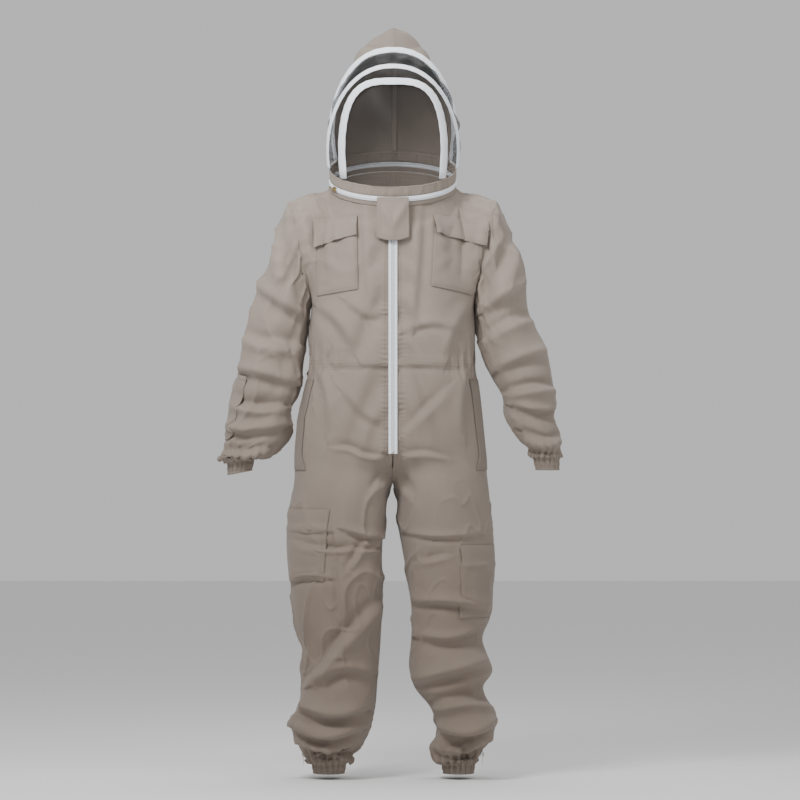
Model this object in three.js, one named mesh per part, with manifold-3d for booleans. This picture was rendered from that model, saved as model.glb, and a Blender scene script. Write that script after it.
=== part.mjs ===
// A beekeeping suit with a fencing veil: cotton coverall, zip-on hood with three wired hoops,
// pockets, elastic waist and cuffs, and its zips. Millimetres, +Z up, the front faces -Y and
// +X is the wearer's left. The origin is the middle of the neck ring.
import * as THREE from 'three';
import { mergeVertices } from 'three/addons/utils/BufferGeometryUtils.js';
import Module from 'manifold-3d';

const wasm = await Module();
wasm.setup();

// ---- driving dimensions ----
const CLOTH = 2.5;             // wall of a sewn panel
const GAP = 0.3;               // between pieces that touch
const SEAM_GAP = 2.2;          // each side of a seam whose panels meet at an angle
const NECK_RADIUS = 150;
const NECK_TILT = 18.9 * Math.PI / 180;   // the ring is low at the front
const NECK_DROP = 18.5;        // from the zip line down to the bodice
const HEM_HEIGHT = 24;         // cloth strip along the foot of the veil
const TAPE_WIDTH = 6;          // each half of the neck zip
const SHOULDER = [240, -32];   // x and z of the top of the armhole
const UNDERARM = [195, -285];
const ARMHOLE_DEPTH = 78;      // front to back, from the middle
const ARM_LENGTH = 636;        // shoulder to the top of the cuff, measured down
const WAIST_HALF = 192;
const HIP_HALF = 232;
const BACK_DEPTH = 135;        // middle to back at the chest
const SEAT_DEPTH = 148;
const WAIST_Z = -427;
const CROTCH_Z = -650;         // where the front seam turns under
const ANKLE_Z = -1378;
const ANKLE_TAPER = 110;       // height over which the leg draws in to the cuff
const CUFF_HEIGHT = 28;
const VEIL_TOP = [-165, 225];  // y and z of the top of the hoop round the face
const HOOP_MIDDLE_TOP = [-108, 264];
const HOOP_OUTER_TOP = [-40, 307];
const CROWN_TIP = [20, 367];
const HOOP_TAPE = 23;          // width of the tape over each hoop
const HOOP_FEET = [50, 86, 114];   // degrees round the neck ring from the front: inner, middle, outer
const HOOP_TAPE_WALL = 5;
const WIRE = 2.4;
const WIRE_CLEARANCE = 0.4;
const MESH_WALL = 1.6;
const ZIP_TOP = -72;
const ZIP_BOTTOM = -645;
const CHAIN_WIDTH = 6;         // the teeth of the front zip
const CHAIN_WALL = 2.6;
const ZIP_TAPE_WIDTH = 7;      // each side of the teeth
const ZIP_TAPE_WALL = 1.2;
const SLIDER = [11, 4.5, 14];
const PULL = [6, 1.6, 26];
const FLAP_WIDTH = 78;
const FLAP_HEIGHT = 95;
const POCKET_LIFT = 6.5;         // how far a patch pocket stands off the panel under it

// ---- materials ----
function finish(color, roughness, metalness = 0) {
  return new THREE.MeshStandardMaterial({ color, roughness, metalness });
}
const khaki = () => finish(0x9e968f, 0.9);
const whiteTape = () => finish(0xd8dfeb, 0.7);
const veilMesh = () => finish(0x2a2826, 0.8);
const elastic = () => finish(0x8d857d, 0.9);
const brass = () => finish(0xb09050, 0.35, 0.9);
const nickel = () => finish(0xc0c0c4, 0.3, 0.9);
const steel = () => finish(0x9a9a9a, 0.4, 0.9);

// ---- geometry helpers ----
const rad = THREE.MathUtils.degToRad;
const lerp = THREE.MathUtils.lerp;
const vec = (x, y, z) => new THREE.Vector3(x, y, z);

// A smooth curve of value against height through [height, value] pairs, highest first.
function profile(pairs) {
  const curve = new THREE.SplineCurve(pairs.map(([z, w]) => new THREE.Vector2(z, w)));
  return (z) => {
    let i = 0;
    while (i < pairs.length - 2 && z < pairs[i + 1][0]) i += 1;
    const share = (z - pairs[i][0]) / (pairs[i + 1][0] - pairs[i][0]);
    const t = THREE.MathUtils.clamp(share, 0, 1);
    return curve.getPoint((i + t) / (pairs.length - 1)).y;
  };
}

// The unit normal of a surface given by place(u, v), along du x dv.
function normalAt(place, u, v) {
  const step = 1e-4;
  const du = place(u + step, v).sub(place(u - step, v));
  const dv = place(u, v + step).sub(place(u, v - step));
  return du.cross(dv).normalize();
}

// A box of nu x nv cells bent onto a surface. Its outer face is `lift` off the surface.
function bentSheet(nu, nv, wall, place, lift = 0) {
  const geometry = new THREE.BoxGeometry(1, 1, 1, nu, nv, 1);
  const position = geometry.attributes.position;
  for (let i = 0; i < position.count; i += 1) {
    const u = position.getX(i) + 0.5;
    const v = position.getY(i) + 0.5;
    const off = lift + (position.getZ(i) - 0.5) * wall;
    const p = place(u, v).addScaledVector(normalAt(place, u, v), off);
    position.setXYZ(i, p.x, p.y, p.z);
  }
  return geometry;
}

// A closed ring of cloth, open at both ends: place(angle, level), level 0 to 1.
function bentTube(around, levels, wall, place) {
  const outline = [];
  for (let i = 0; i <= levels; i += 1) outline.push(new THREE.Vector2(2, i / levels));
  for (let i = levels; i >= 0; i -= 1) outline.push(new THREE.Vector2(1, i / levels));
  outline.push(outline[0].clone());
  const geometry = new THREE.LatheGeometry(outline, around);
  const position = geometry.attributes.position;
  for (let i = 0; i < position.count; i += 1) {
    const outside = Math.hypot(position.getX(i), position.getZ(i)) > 1.5;
    const angle = Math.atan2(position.getX(i), position.getZ(i));
    const level = position.getY(i);
    const p = place(angle, level);
    if (!outside) p.addScaledVector(normalAt(place, angle, level), -wall);
    position.setXYZ(i, p.x, p.y, p.z);
  }
  return geometry;
}

function solidOf(geometry) {
  const bare = geometry.clone();
  bare.deleteAttribute('normal');
  bare.deleteAttribute('uv');
  const merged = mergeVertices(bare, 1e-4);
  return new wasm.Manifold(new wasm.Mesh({
    numProp: 3,
    vertProperties: merged.attributes.position.array,
    triVerts: new Uint32Array(merged.index.array),
  }));
}

function cut(geometry, tool) {
  const mesh = solidOf(geometry).subtract(solidOf(tool)).getMesh();
  const result = new THREE.BufferGeometry();
  result.setAttribute('position', new THREE.BufferAttribute(mesh.vertProperties, 3));
  result.setIndex(new THREE.BufferAttribute(mesh.triVerts, 1));
  return result;
}

const suit = new THREE.Group();
const mirrored = new THREE.Group();
mirrored.scale.x = -1;
const hood = new THREE.Group();
suit.add(mirrored, hood);

function add(parent, name, geometry, material) {
  const mesh = new THREE.Mesh(geometry, material);
  mesh.name = name;
  parent.add(mesh);
  return mesh;
}

// The same piece on the wearer's left (+X) and, mirrored, on the right.
function addPair(name, make, material) {
  add(suit, `${name}_left`, make(), material());
  add(mirrored, `${name}_right`, make(), material());
}

// ---- neck ring ----
// A point at an angle round the ring, 0 at the front and 90 degrees on +X, `up` off the zip line.
function ringPoint(angle, up, radius = NECK_RADIUS) {
  const p = vec(radius * Math.sin(angle), -radius * Math.cos(angle), up);
  return p.applyAxisAngle(vec(1, 0, 0), NECK_TILT);
}

function neckRing(from, to, wall, radius) {
  return bentTube(28, 1, wall, (angle, level) => ringPoint(angle, lerp(from, to, level), radius));
}

const HEM_FOOT = TAPE_WIDTH + GAP;
const HEM_TOP = HEM_FOOT + HEM_HEIGHT;
const front = ringPoint(0, -NECK_DROP);
const FRONT_Y = front.y;

// ---- bodice ----
const half = profile([
  [UNDERARM[1], UNDERARM[0]], [UNDERARM[1] - 60, UNDERARM[0] + 1], [WAIST_Z, WAIST_HALF],
  [lerp(WAIST_Z, CROTCH_Z, 0.5), lerp(WAIST_HALF, HIP_HALF, 0.55)],
  [CROTCH_Z, HIP_HALF], [CROTCH_Z - 200, HIP_HALF + 13], [CROTCH_Z - 330, HIP_HALF + 11],
  [lerp(CROTCH_Z, ANKLE_Z, 0.6), HIP_HALF - 6], [lerp(CROTCH_Z, ANKLE_Z, 0.72), HIP_HALF + 2],
  [ANKLE_Z + ANKLE_TAPER, HIP_HALF + 14], [ANKLE_Z + ANKLE_TAPER / 2, HIP_HALF - 10],
  [ANKLE_Z, HIP_HALF - 34],
]);
const back = profile([
  [UNDERARM[1], BACK_DEPTH], [WAIST_Z, BACK_DEPTH - 8],
  [lerp(WAIST_Z, CROTCH_Z, 0.7), SEAT_DEPTH], [CROTCH_Z, SEAT_DEPTH - 2],
]);
const SQUARENESS = 2.3;
const rounded = (value) => Math.max(value, 0) ** (2 / SQUARENESS);

// A quarter of the trunk at a height: u 0 on the middle line, 1 on the side seam.
function trunk(u, z, side) {
  const angle = u * Math.PI / 2;
  const depth = side < 0 ? -FRONT_Y : back(z);
  return vec(half(z) * rounded(Math.sin(angle)), side * depth * rounded(Math.cos(angle)), z);
}

const armMiddle = vec((SHOULDER[0] + UNDERARM[0]) / 2, 0, (SHOULDER[1] + UNDERARM[1]) / 2);
const armHalf = vec((SHOULDER[0] - UNDERARM[0]) / 2, 0, (SHOULDER[1] - UNDERARM[1]) / 2);

function armhole(w, side) {
  const p = armMiddle.clone().addScaledVector(armHalf, -Math.cos(Math.PI * w));
  p.y = side * ARMHOLE_DEPTH * Math.sin(Math.PI * w);
  return p;
}

// Neckline from the middle line to the side, then the shoulder seam out to the armhole.
function topEdge(u, side) {
  const neckShare = 0.62;
  const seamStart = ringPoint(Math.PI / 2, -NECK_DROP);
  if (u <= neckShare) {
    const quarter = (u / neckShare) * Math.PI / 2;
    return ringPoint(side < 0 ? quarter : Math.PI - quarter, -NECK_DROP);
  }
  const t = (u - neckShare) / (1 - neckShare);
  return seamStart.lerp(vec(SHOULDER[0], 0, SHOULDER[1]), t);
}

// A surface patch that fills four edges: foot(u), top(u), inner(w) and outer(w). The outer
// edge's own bow fades towards the inner edge as u to the power `fade`.
function patch(u, w, fade, foot, top, inner, outer) {
  const f = u ** fade;
  const p = inner(w).multiplyScalar(1 - f).addScaledVector(outer(w), f);
  p.addScaledVector(foot(u), 1 - w).addScaledVector(top(u), w);
  p.addScaledVector(foot(0), -(1 - f) * (1 - w)).addScaledVector(foot(1), -f * (1 - w));
  return p.addScaledVector(top(0), -(1 - f) * w).addScaledVector(top(1), -f * w);
}

const BODICE_SPLIT = 0.4;      // share of the panel's rows below the underarm
function bodice(u, v, side) {
  if (v < BODICE_SPLIT) {
    return trunk(u, lerp(WAIST_Z + GAP, UNDERARM[1], v / BODICE_SPLIT), side);
  }
  const w = (v - BODICE_SPLIT) / (1 - BODICE_SPLIT);
  const neck = topEdge(0, side);
  const inner = (t) => vec(0, lerp(trunk(0, UNDERARM[1], side).y, neck.y, t),
    lerp(UNDERARM[1], neck.z, t));
  return patch(Math.max(u, 0), w, 2, (t) => trunk(t, UNDERARM[1], side), (t) => topEdge(t, side),
    inner, (t) => armhole(t, side));
}

const shift = (p, side) => p.add(vec(GAP, side * SEAM_GAP, 0));
const frontBodice = (u, v) => shift(bodice(u, v, -1), -1);
// The back is one piece: u runs from +X to -X.
function backBodice(u, v) {
  const across = 1 - 2 * u;
  const p = bodice(Math.abs(across), v, 1).add(vec(0, SEAM_GAP, 0));
  p.x *= Math.sign(across) || 1;
  return p;
}

const BODICE_CELLS = [7, 10];
addPair('front_bodice', () => bentSheet(...BODICE_CELLS, CLOTH, frontBodice), khaki);
add(suit, 'back_bodice', bentSheet(14, 10, CLOTH, backBodice), khaki());

// ---- trousers ----
const inside = profile([
  [CROTCH_Z, 3], [CROTCH_Z - 95, 5], [CROTCH_Z - 280, 27], [CROTCH_Z - 400, 38],
  [ANKLE_Z + 198, 46], [ANKLE_Z + 108, 74], [ANKLE_Z + 38, 95], [ANKLE_Z, 107],
]);
const legDepth = profile([
  [CROTCH_Z, 134], [CROTCH_Z - 95, 126], [CROTCH_Z - 330, 104], [CROTCH_Z - 530, 90],
  [ANKLE_Z + 90, 84], [ANKLE_Z + 30, 66], [ANKLE_Z, 50],
]);
const CROTCH_RUN = 95;         // height over which the seam turns from front to inside leg

function leg(u, z, side) {
  const angle = Math.PI * (1 - u);
  const middle = (half(z) + inside(z)) / 2;
  const width = (half(z) - inside(z)) / 2;
  return vec(middle + width * Math.cos(angle), side * legDepth(z) * Math.sin(angle), z);
}

function trouser(u, v, side) {
  const z = lerp(ANKLE_Z + GAP, WAIST_Z - GAP, v);
  if (z >= CROTCH_Z) return trunk(u, z, side);
  const run = Math.min((CROTCH_Z - z) / CROTCH_RUN, 1);
  return trunk(u, Math.max(z, CROTCH_Z), side).setZ(z).lerp(leg(u, z, side), Math.sin(run * Math.PI / 2));
}

const frontTrouser = (u, v) => shift(trouser(u, v, -1), -1);
const backTrouser = (u, v) => shift(trouser(1 - u, v, 1), 1);
const LEG_CELLS = [7, 22];
addPair('front_trouser', () => bentSheet(...LEG_CELLS, CLOTH, frontTrouser), khaki);
addPair('back_trouser', () => bentSheet(...LEG_CELLS, CLOTH, backTrouser), khaki);

// Elastic band sewn inside the back of the waist, from side to side.
const WAIST_BAND = 36;
const ELASTIC_WALL = 2;
const ELASTIC_LIFT = 4;        // hangs clear inside the back panel
function waistBand(u, v) {
  const across = 1 - 2 * u;
  const z = WAIST_Z + 8 + v * WAIST_BAND;
  const p = trunk(0.94 * Math.abs(across), z, 1).add(vec(0, GAP, 0));
  p.x *= Math.sign(across) || 1;
  return p;
}
add(suit, 'waist_elastic', bentSheet(12, 1, ELASTIC_WALL, waistBand, -CLOTH - ELASTIC_LIFT), elastic());

// ---- sleeves ----
const down = (share, x) => new THREE.Vector2(x, SHOULDER[1] - share * ARM_LENGTH);
const outerLine = new THREE.SplineCurve([
  new THREE.Vector2(SHOULDER[0], SHOULDER[1]), down(0.185, SHOULDER[0] + 56),
  down(0.39, SHOULDER[0] + 105), down(0.625, SHOULDER[0] + 140), down(0.81, SHOULDER[0] + 160),
  down(0.93, SHOULDER[0] + 170), down(1, SHOULDER[0] + 158),
]);
const innerLine = new THREE.SplineCurve([
  new THREE.Vector2(UNDERARM[0], UNDERARM[1]), down(0.47, UNDERARM[0] + 8),
  down(0.57, UNDERARM[0] + 18), down(0.68, UNDERARM[0] + 34), down(0.79, UNDERARM[0] + 62),
  down(0.893, UNDERARM[0] + 95), down(0.975, UNDERARM[0] + 127),
]);
const sleeveDepth = new THREE.SplineCurve(
  [ARMHOLE_DEPTH, 80, 78, 72, 64, 56, 44].map((depth, i) => new THREE.Vector2(i, depth)));
const SLEEVE_START = 0.035;    // leaves room for the armhole seam

function sleeve(angle, level) {
  const t = lerp(1, SLEEVE_START, level);
  const outer = outerLine.getPoint(t);
  const inner = innerLine.getPoint(t);
  const cos = (Math.cos(angle) + 1) / 2;
  return vec(lerp(inner.x, outer.x, cos), sleeveDepth.getPoint(t).y * Math.sin(angle),
    lerp(inner.y, outer.y, cos));
}
const SLEEVE_CELLS = [16, 10];
addPair('sleeve', () => bentTube(...SLEEVE_CELLS, CLOTH, sleeve), khaki);

const CUFF_SHRINK = 0.86;
// An elastic cuff carries on from an open end of cloth, drawn in a little.
function cuff(place, end, fall) {
  const middle = place(0, end).add(place(Math.PI, end)).multiplyScalar(0.5);
  return (angle, level) => {
    const p = place(angle, end).sub(middle);
    const size = lerp(0.78, CUFF_SHRINK, level);
    return p.multiplyScalar(size).add(middle).addScaledVector(fall, lerp(1, 0.1, level));
  };
}
const wristFall = vec(4, 0, -CUFF_HEIGHT);
addPair('wrist_cuff', () => bentTube(16, 2, CLOTH, cuff(sleeve, 0, wristFall)), elastic);

function ankleEnd(angle) {
  const middle = (half(ANKLE_Z) + inside(ANKLE_Z)) / 2;
  const width = (half(ANKLE_Z) - inside(ANKLE_Z)) / 2;
  return vec(middle + width * Math.cos(angle), legDepth(ANKLE_Z) * Math.sin(angle), ANKLE_Z);
}
const ankleFall = vec(0, 0, -CUFF_HEIGHT);
addPair('ankle_cuff', () => bentTube(16, 2, CLOTH, cuff(ankleEnd, 0, ankleFall)), elastic);

// ---- pockets ----
// A patch over whole cells of a panel, so that its faces lie along the panel's.
function patchPocket(place, cells, [u0, u1], [v0, v1], lift) {
  const window = (u, v) => place(lerp(u0, u1, u) / cells[0], lerp(v0, v1, v) / cells[1]);
  return bentSheet(u1 - u0, v1 - v0, CLOTH, window, lift + CLOTH);
}
// The flap runs level while the panel's rows rise towards the shoulder.
const bagFlap = (u, v) => frontBodice(lerp(0.25, 0.78, u),
  lerp(lerp(0.8, 0.925, v), lerp(0.69, 0.8, v), u));
const FLAP_LIFT = POCKET_LIFT + CLOTH + 6;
const FLAP_GRID = [5, 3];
addPair('chest_pocket', () => patchPocket(frontBodice, BODICE_CELLS, [2, 5], [5, 8], POCKET_LIFT), khaki);
addPair('pocket_flap', () => bentSheet(...FLAP_GRID, CLOTH, bagFlap, FLAP_LIFT + CLOTH), khaki);
addPair('thigh_pocket', () => patchPocket(frontTrouser, LEG_CELLS, [4, 7], [8, 12], POCKET_LIFT), khaki);
addPair('side_pocket_welt', () => patchPocket(frontTrouser, LEG_CELLS, [6, 7], [16, 21], POCKET_LIFT), khaki);

const sleevePanel = (u, v) => sleeve(u * 2 * Math.PI, v);
add(mirrored, 'sleeve_pocket_right',
  patchPocket(sleevePanel, SLEEVE_CELLS, [-3, 1], [4, 6], POCKET_LIFT), khaki());

// ---- neck ring pieces ----
add(suit, 'collar_band', neckRing(-NECK_DROP + SEAM_GAP, -TAPE_WIDTH - GAP, CLOTH), khaki());
add(suit, 'neck_zip_tape_suit', neckRing(-TAPE_WIDTH, -GAP, ZIP_TAPE_WALL), whiteTape());
add(hood, 'neck_zip_tape_hood', neckRing(GAP, TAPE_WIDTH, ZIP_TAPE_WALL), whiteTape());
add(hood, 'veil_hem', neckRing(HEM_FOOT, HEM_TOP, CLOTH), khaki());

// ---- hood ----
// A hoop is a planar arch: a spread and a squareness, feet on the hem, and a top point.
function hoop(footAngle, spread, squareness, top) {
  const foot = ringPoint(footAngle, VEIL_FOOT);
  return (s) => {
    const angle = (0.5 - s) * Math.PI;
    const up = Math.max(Math.cos(angle), 0) ** (2 / squareness);
    const out = Math.abs(Math.sin(angle)) ** (2 / squareness);
    const wide = lerp(foot.x, spread, Math.sin(Math.min(1, up * 2.2) * Math.PI / 2));
    return vec(-Math.sign(Math.sin(angle)) * wide * out, lerp(foot.y, top[0], up), lerp(foot.z, top[1], up));
  };
}
const VEIL_FOOT = HEM_TOP + 6;
const [innerFoot, middleFoot, outerFoot] = HOOP_FEET.map(rad);
const hoopInner = hoop(innerFoot, NECK_RADIUS * 0.8, 3.3, VEIL_TOP);
const hoopMiddle = hoop(middleFoot, NECK_RADIUS * 1.045, 2.2, HOOP_MIDDLE_TOP);
const hoopOuter = hoop(outerFoot, NECK_RADIUS, 2.3, HOOP_OUTER_TOP);
const hoodMiddle = vec(0, 10, 60);
const rearMiddle = vec(0, 150, 100);   // the outer hoop's tape faces away from here, so it shows in front

// The way along a hoop, and across it in the surface of the hood.
function hoopFrame(arch, s, middle) {
  const step = 1e-3;
  const along = arch(Math.min(s + step, 1)).sub(arch(Math.max(s - step, 0))).normalize();
  const out = arch(s).sub(middle).normalize();
  const across = out.clone().cross(along).normalize();
  return { across, normal: along.clone().cross(across) };
}

function hoopTape(arch, middle) {
  return (u, v) => arch(v).addScaledVector(hoopFrame(arch, v, middle).across, (0.5 - u) * HOOP_TAPE);
}

// The middle line of the wire, from below one foot of the tape to below the other.
function wirePath(arch, middle) {
  const steps = 16;
  const spare = 4;
  const points = [];
  for (let i = 0; i <= steps; i += 1) {
    const s = i / steps;
    points.push(arch(s).addScaledVector(hoopFrame(arch, s, middle).normal, HOOP_TAPE_WALL / 2));
  }
  const beyond = (end, next) => end.clone().add(end.clone().sub(next).setLength(spare));
  return new THREE.CatmullRomCurve3(
    [beyond(points[0], points[1]), ...points, beyond(points[steps], points[steps - 1])]);
}

function rod(radius, path, steps) {
  const sides = 6;
  const shape = new THREE.Shape();
  for (let i = 0; i < sides; i += 1) {
    const angle = i * 2 * Math.PI / sides;
    const move = i ? 'lineTo' : 'moveTo';
    shape[move](radius * Math.cos(angle), radius * Math.sin(angle));
  }
  return new THREE.ExtrudeGeometry(shape, { steps, extrudePath: path, bevelEnabled: false });
}

function addHoop(name, arch, middle) {
  const cells = 22;
  const tape = bentSheet(1, cells, HOOP_TAPE_WALL, hoopTape(arch, middle), HOOP_TAPE_WALL);
  const path = wirePath(arch, middle);
  const bore = rod(WIRE / 2 + WIRE_CLEARANCE, path, cells);
  add(hood, `${name}_tape`, cut(tape, bore), whiteTape());
  add(hood, `${name}_wire`, rod(WIRE / 2, path, cells), steel());
}
addHoop('hoop_inner', hoopInner, hoodMiddle);
addHoop('hoop_middle', hoopMiddle, hoodMiddle);
addHoop('hoop_outer', hoopOuter, rearMiddle);

const NET_MARGIN = HOOP_TAPE / 2 + 2.5;   // from the middle of a hoop's tape
// Net sewn between two hoops, from the rear one forward.
function net(rear, fore, bulge) {
  return (u, v) => {
    const from = rear(v);
    const to = fore(v);
    const margin = NET_MARGIN / from.distanceTo(to);
    const out = from.clone().lerp(to, 0.5).sub(hoodMiddle).normalize();
    return from.lerp(to, lerp(margin, 1 - margin, u)).addScaledVector(out, bulge * Math.sin(Math.PI * u));
  };
}
add(hood, 'veil_side', bentSheet(2, 18, MESH_WALL, net(hoopMiddle, hoopInner, 6)), veilMesh());
add(hood, 'veil_top', bentSheet(2, 18, MESH_WALL, net(hoopOuter, hoopMiddle, 6)), veilMesh());

// The net before the face: a square stretched to the hoop above and the hem below.
const FACE_BULGE = 26;
function faceNet(u, v) {
  const a = 2 * u - 1;
  const b = 2 * v - 1;
  const reach = Math.max(Math.abs(a), Math.abs(b), 1e-6);
  const across = a / reach;
  const up = b / reach;
  const middle = vec(0, (VEIL_TOP[0] + ringPoint(0, VEIL_FOOT).y) / 2, VEIL_TOP[1] / 2);
  let edge = hoopInner(0.5 + across / 6);
  if (Math.abs(across) === 1) edge = hoopInner(0.5 + across * (0.5 - (up + 1) / 6));
  if (up === -1) edge = ringPoint(across * innerFoot, VEIL_FOOT);
  const size = reach * lerp(0.9, 0.97, up === -1 ? 1 : 0);
  const p = middle.clone().lerp(edge, size);
  p.y -= FACE_BULGE * (1 - reach * reach);
  return p;
}
add(hood, 'face_veil', bentSheet(10, 10, MESH_WALL, faceNet), veilMesh());

// Cloth behind the rear hoop, in two halves. They meet over the head and down the back, and run up
// to a blunt tip above the hoop.
const CROWN_RISE = 0.78;       // share of the height at which the halves leave the hoop
const CROWN_END = 0.985;
const CROWN_SPREAD = 55;       // how far each half swells beside the seam
const CROWN_SPREAD_FROM = 0.3;
const backSeam = new THREE.CubicBezierCurve3(
  ringPoint(Math.PI, VEIL_FOOT), vec(0, 186, 200),
  vec(0, 118, CROWN_TIP[1] - 24), vec(0, CROWN_TIP[0], CROWN_TIP[1]));

function crown(u, v) {
  const height = v * CROWN_END;
  const back = backSeam.getPoint(height);
  const below = Math.min(height / CROWN_RISE, 1);
  const above = Math.max((height - CROWN_RISE) / (1 - CROWN_RISE), 0);
  const fore = hoopOuter(1 - below / 2).lerp(backSeam.getPoint(1), above);
  fore.lerp(back, NET_MARGIN * (1 - above) / fore.distanceTo(back));
  const rise = THREE.MathUtils.smoothstep(height, CROWN_SPREAD_FROM, CROWN_RISE);
  const swell = CROWN_SPREAD * rise * (1 - above ** 1.3) ** 0.75;
  const turn = (1 - u) * Math.PI / 2;
  const p = back.clone().lerp(fore, 1 - u);
  p.x = fore.x * Math.sin(turn) + swell * Math.sin(2 * turn) + 2 * SEAM_GAP;
  p.y = lerp(fore.y, back.y, Math.cos(turn));
  return p;
}
add(hood, 'crown_left', bentSheet(6, 9, CLOTH, crown), khaki());
const crownMirror = new THREE.Group();
crownMirror.scale.x = -1;
hood.add(crownMirror);
add(crownMirror, 'crown_right', bentSheet(6, 9, CLOTH, crown), khaki());

// ---- front zip ----
function block(parent, name, size, place, material) {
  const mesh = add(parent, name, new THREE.BoxGeometry(...size), material());
  mesh.position.set(...place);
  return mesh;
}
const ZIP_Y = FRONT_Y - SEAM_GAP - 2 * GAP;
const zip = new THREE.Group();
zip.position.set(0, ZIP_Y, 0);
suit.add(zip);
const zipLength = ZIP_TOP - ZIP_BOTTOM;
const zipMiddle = (ZIP_TOP + ZIP_BOTTOM) / 2;
const STOP = [CHAIN_WIDTH, CHAIN_WALL, 4];
const tapeX = CHAIN_WIDTH / 2 + GAP + ZIP_TAPE_WIDTH / 2;
const tapeSize = [ZIP_TAPE_WIDTH, ZIP_TAPE_WALL, zipLength];
block(zip, 'front_zip_tape_left', tapeSize, [tapeX, -ZIP_TAPE_WALL / 2, zipMiddle], whiteTape);
block(zip, 'front_zip_tape_right', tapeSize, [-tapeX, -ZIP_TAPE_WALL / 2, zipMiddle], whiteTape);
const chainLength = zipLength - 2 * (STOP[2] + GAP);
block(zip, 'front_zip_teeth', [CHAIN_WIDTH, CHAIN_WALL, chainLength], [0, -CHAIN_WALL / 2, zipMiddle],
  whiteTape);
block(zip, 'front_zip_top_stop', STOP, [0, -CHAIN_WALL / 2, ZIP_TOP - STOP[2] / 2], nickel);
block(zip, 'front_zip_bottom_stop', STOP, [0, -CHAIN_WALL / 2, ZIP_BOTTOM + STOP[2] / 2], nickel);
const sliderY = -CHAIN_WALL - GAP - SLIDER[1] / 2;
const sliderZ = ZIP_TOP - STOP[2] - SLIDER[2] / 2;
block(zip, 'front_zip_slider', SLIDER, [0, sliderY, sliderZ], brass);
const pullY = sliderY - SLIDER[1] / 2 - GAP - PULL[1] / 2;
block(zip, 'front_zip_pull', PULL, [0, pullY, sliderZ - PULL[2] / 2 + 2], brass);

// ---- neck flap over the top of the zip ----
const FLAP_TOP = ringPoint(0, 0).z;
const FLAP_Y = ZIP_Y + pullY - PULL[1] / 2 - 1.5;
const flapPlace = (u, v) => vec((u - 0.5) * FLAP_WIDTH, FLAP_Y, FLAP_TOP - (1 - v) * FLAP_HEIGHT);
add(suit, 'neck_flap', bentSheet(2, 2, CLOTH, flapPlace, CLOTH), khaki());

// ---- neck zip slider ----
const NECK_SLIDER_ANGLE = rad(-64);
const tilted = new THREE.Group();
tilted.rotation.x = NECK_TILT;
const turned = new THREE.Group();
turned.rotation.z = NECK_SLIDER_ANGLE;
tilted.add(turned);
suit.add(tilted);
const neckSliderY = -NECK_RADIUS - 2 * GAP - SLIDER[1] / 2;
block(turned, 'neck_zip_slider', [SLIDER[2], SLIDER[1], SLIDER[0]], [0, neckSliderY, 0], brass);
const neckPullY = neckSliderY - SLIDER[1] / 2 - GAP - PULL[1] / 2;
block(turned, 'neck_zip_pull', [PULL[2], PULL[1], PULL[0]], [2 - PULL[2] / 2, neckPullY, 0], brass);

// ---- ankle zips ----
const ankleLean = Math.atan2(half(ANKLE_Z + ANKLE_TAPER) - half(ANKLE_Z), ANKLE_TAPER);
const ANKLE_ZIP_LENGTH = 92;
const ANKLE_ZIP_OFFSET = 4;
const ANKLE_ZIP_WIDTH = 20;
const ANKLE_ZIP_FOOT = 14;
for (const [side, parent] of [['left', suit], ['right', mirrored]]) {
  const line = new THREE.Group();
  line.position.set(half(ANKLE_Z) + ANKLE_ZIP_OFFSET, 0, ANKLE_Z);
  line.rotation.y = ankleLean;
  parent.add(line);
  const tapeMiddle = ANKLE_ZIP_FOOT + ANKLE_ZIP_LENGTH / 2;
  block(line, `ankle_zip_tape_${side}`, [ZIP_TAPE_WALL, ANKLE_ZIP_WIDTH, ANKLE_ZIP_LENGTH],
    [ZIP_TAPE_WALL / 2, 0, tapeMiddle], elastic);
  const sliderX = ZIP_TAPE_WALL + GAP + SLIDER[1] / 2;
  const footZ = ANKLE_ZIP_FOOT + SLIDER[2] / 2;
  block(line, `ankle_zip_slider_${side}`, [SLIDER[1], SLIDER[0], SLIDER[2]], [sliderX, 0, footZ], nickel);
  const pullX = sliderX + SLIDER[1] / 2 + GAP + PULL[1] / 2;
  block(line, `ankle_zip_pull_${side}`, [PULL[1], PULL[0], PULL[2]],
    [pullX, 0, footZ + 2 - PULL[2] / 2], nickel);
}

export default suit;
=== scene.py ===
import math

import bmesh
import bpy
import numpy as np
from mathutils import Matrix, Vector
from mathutils.bvhtree import BVHTree
from mathutils.noise import noise as perlin


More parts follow.
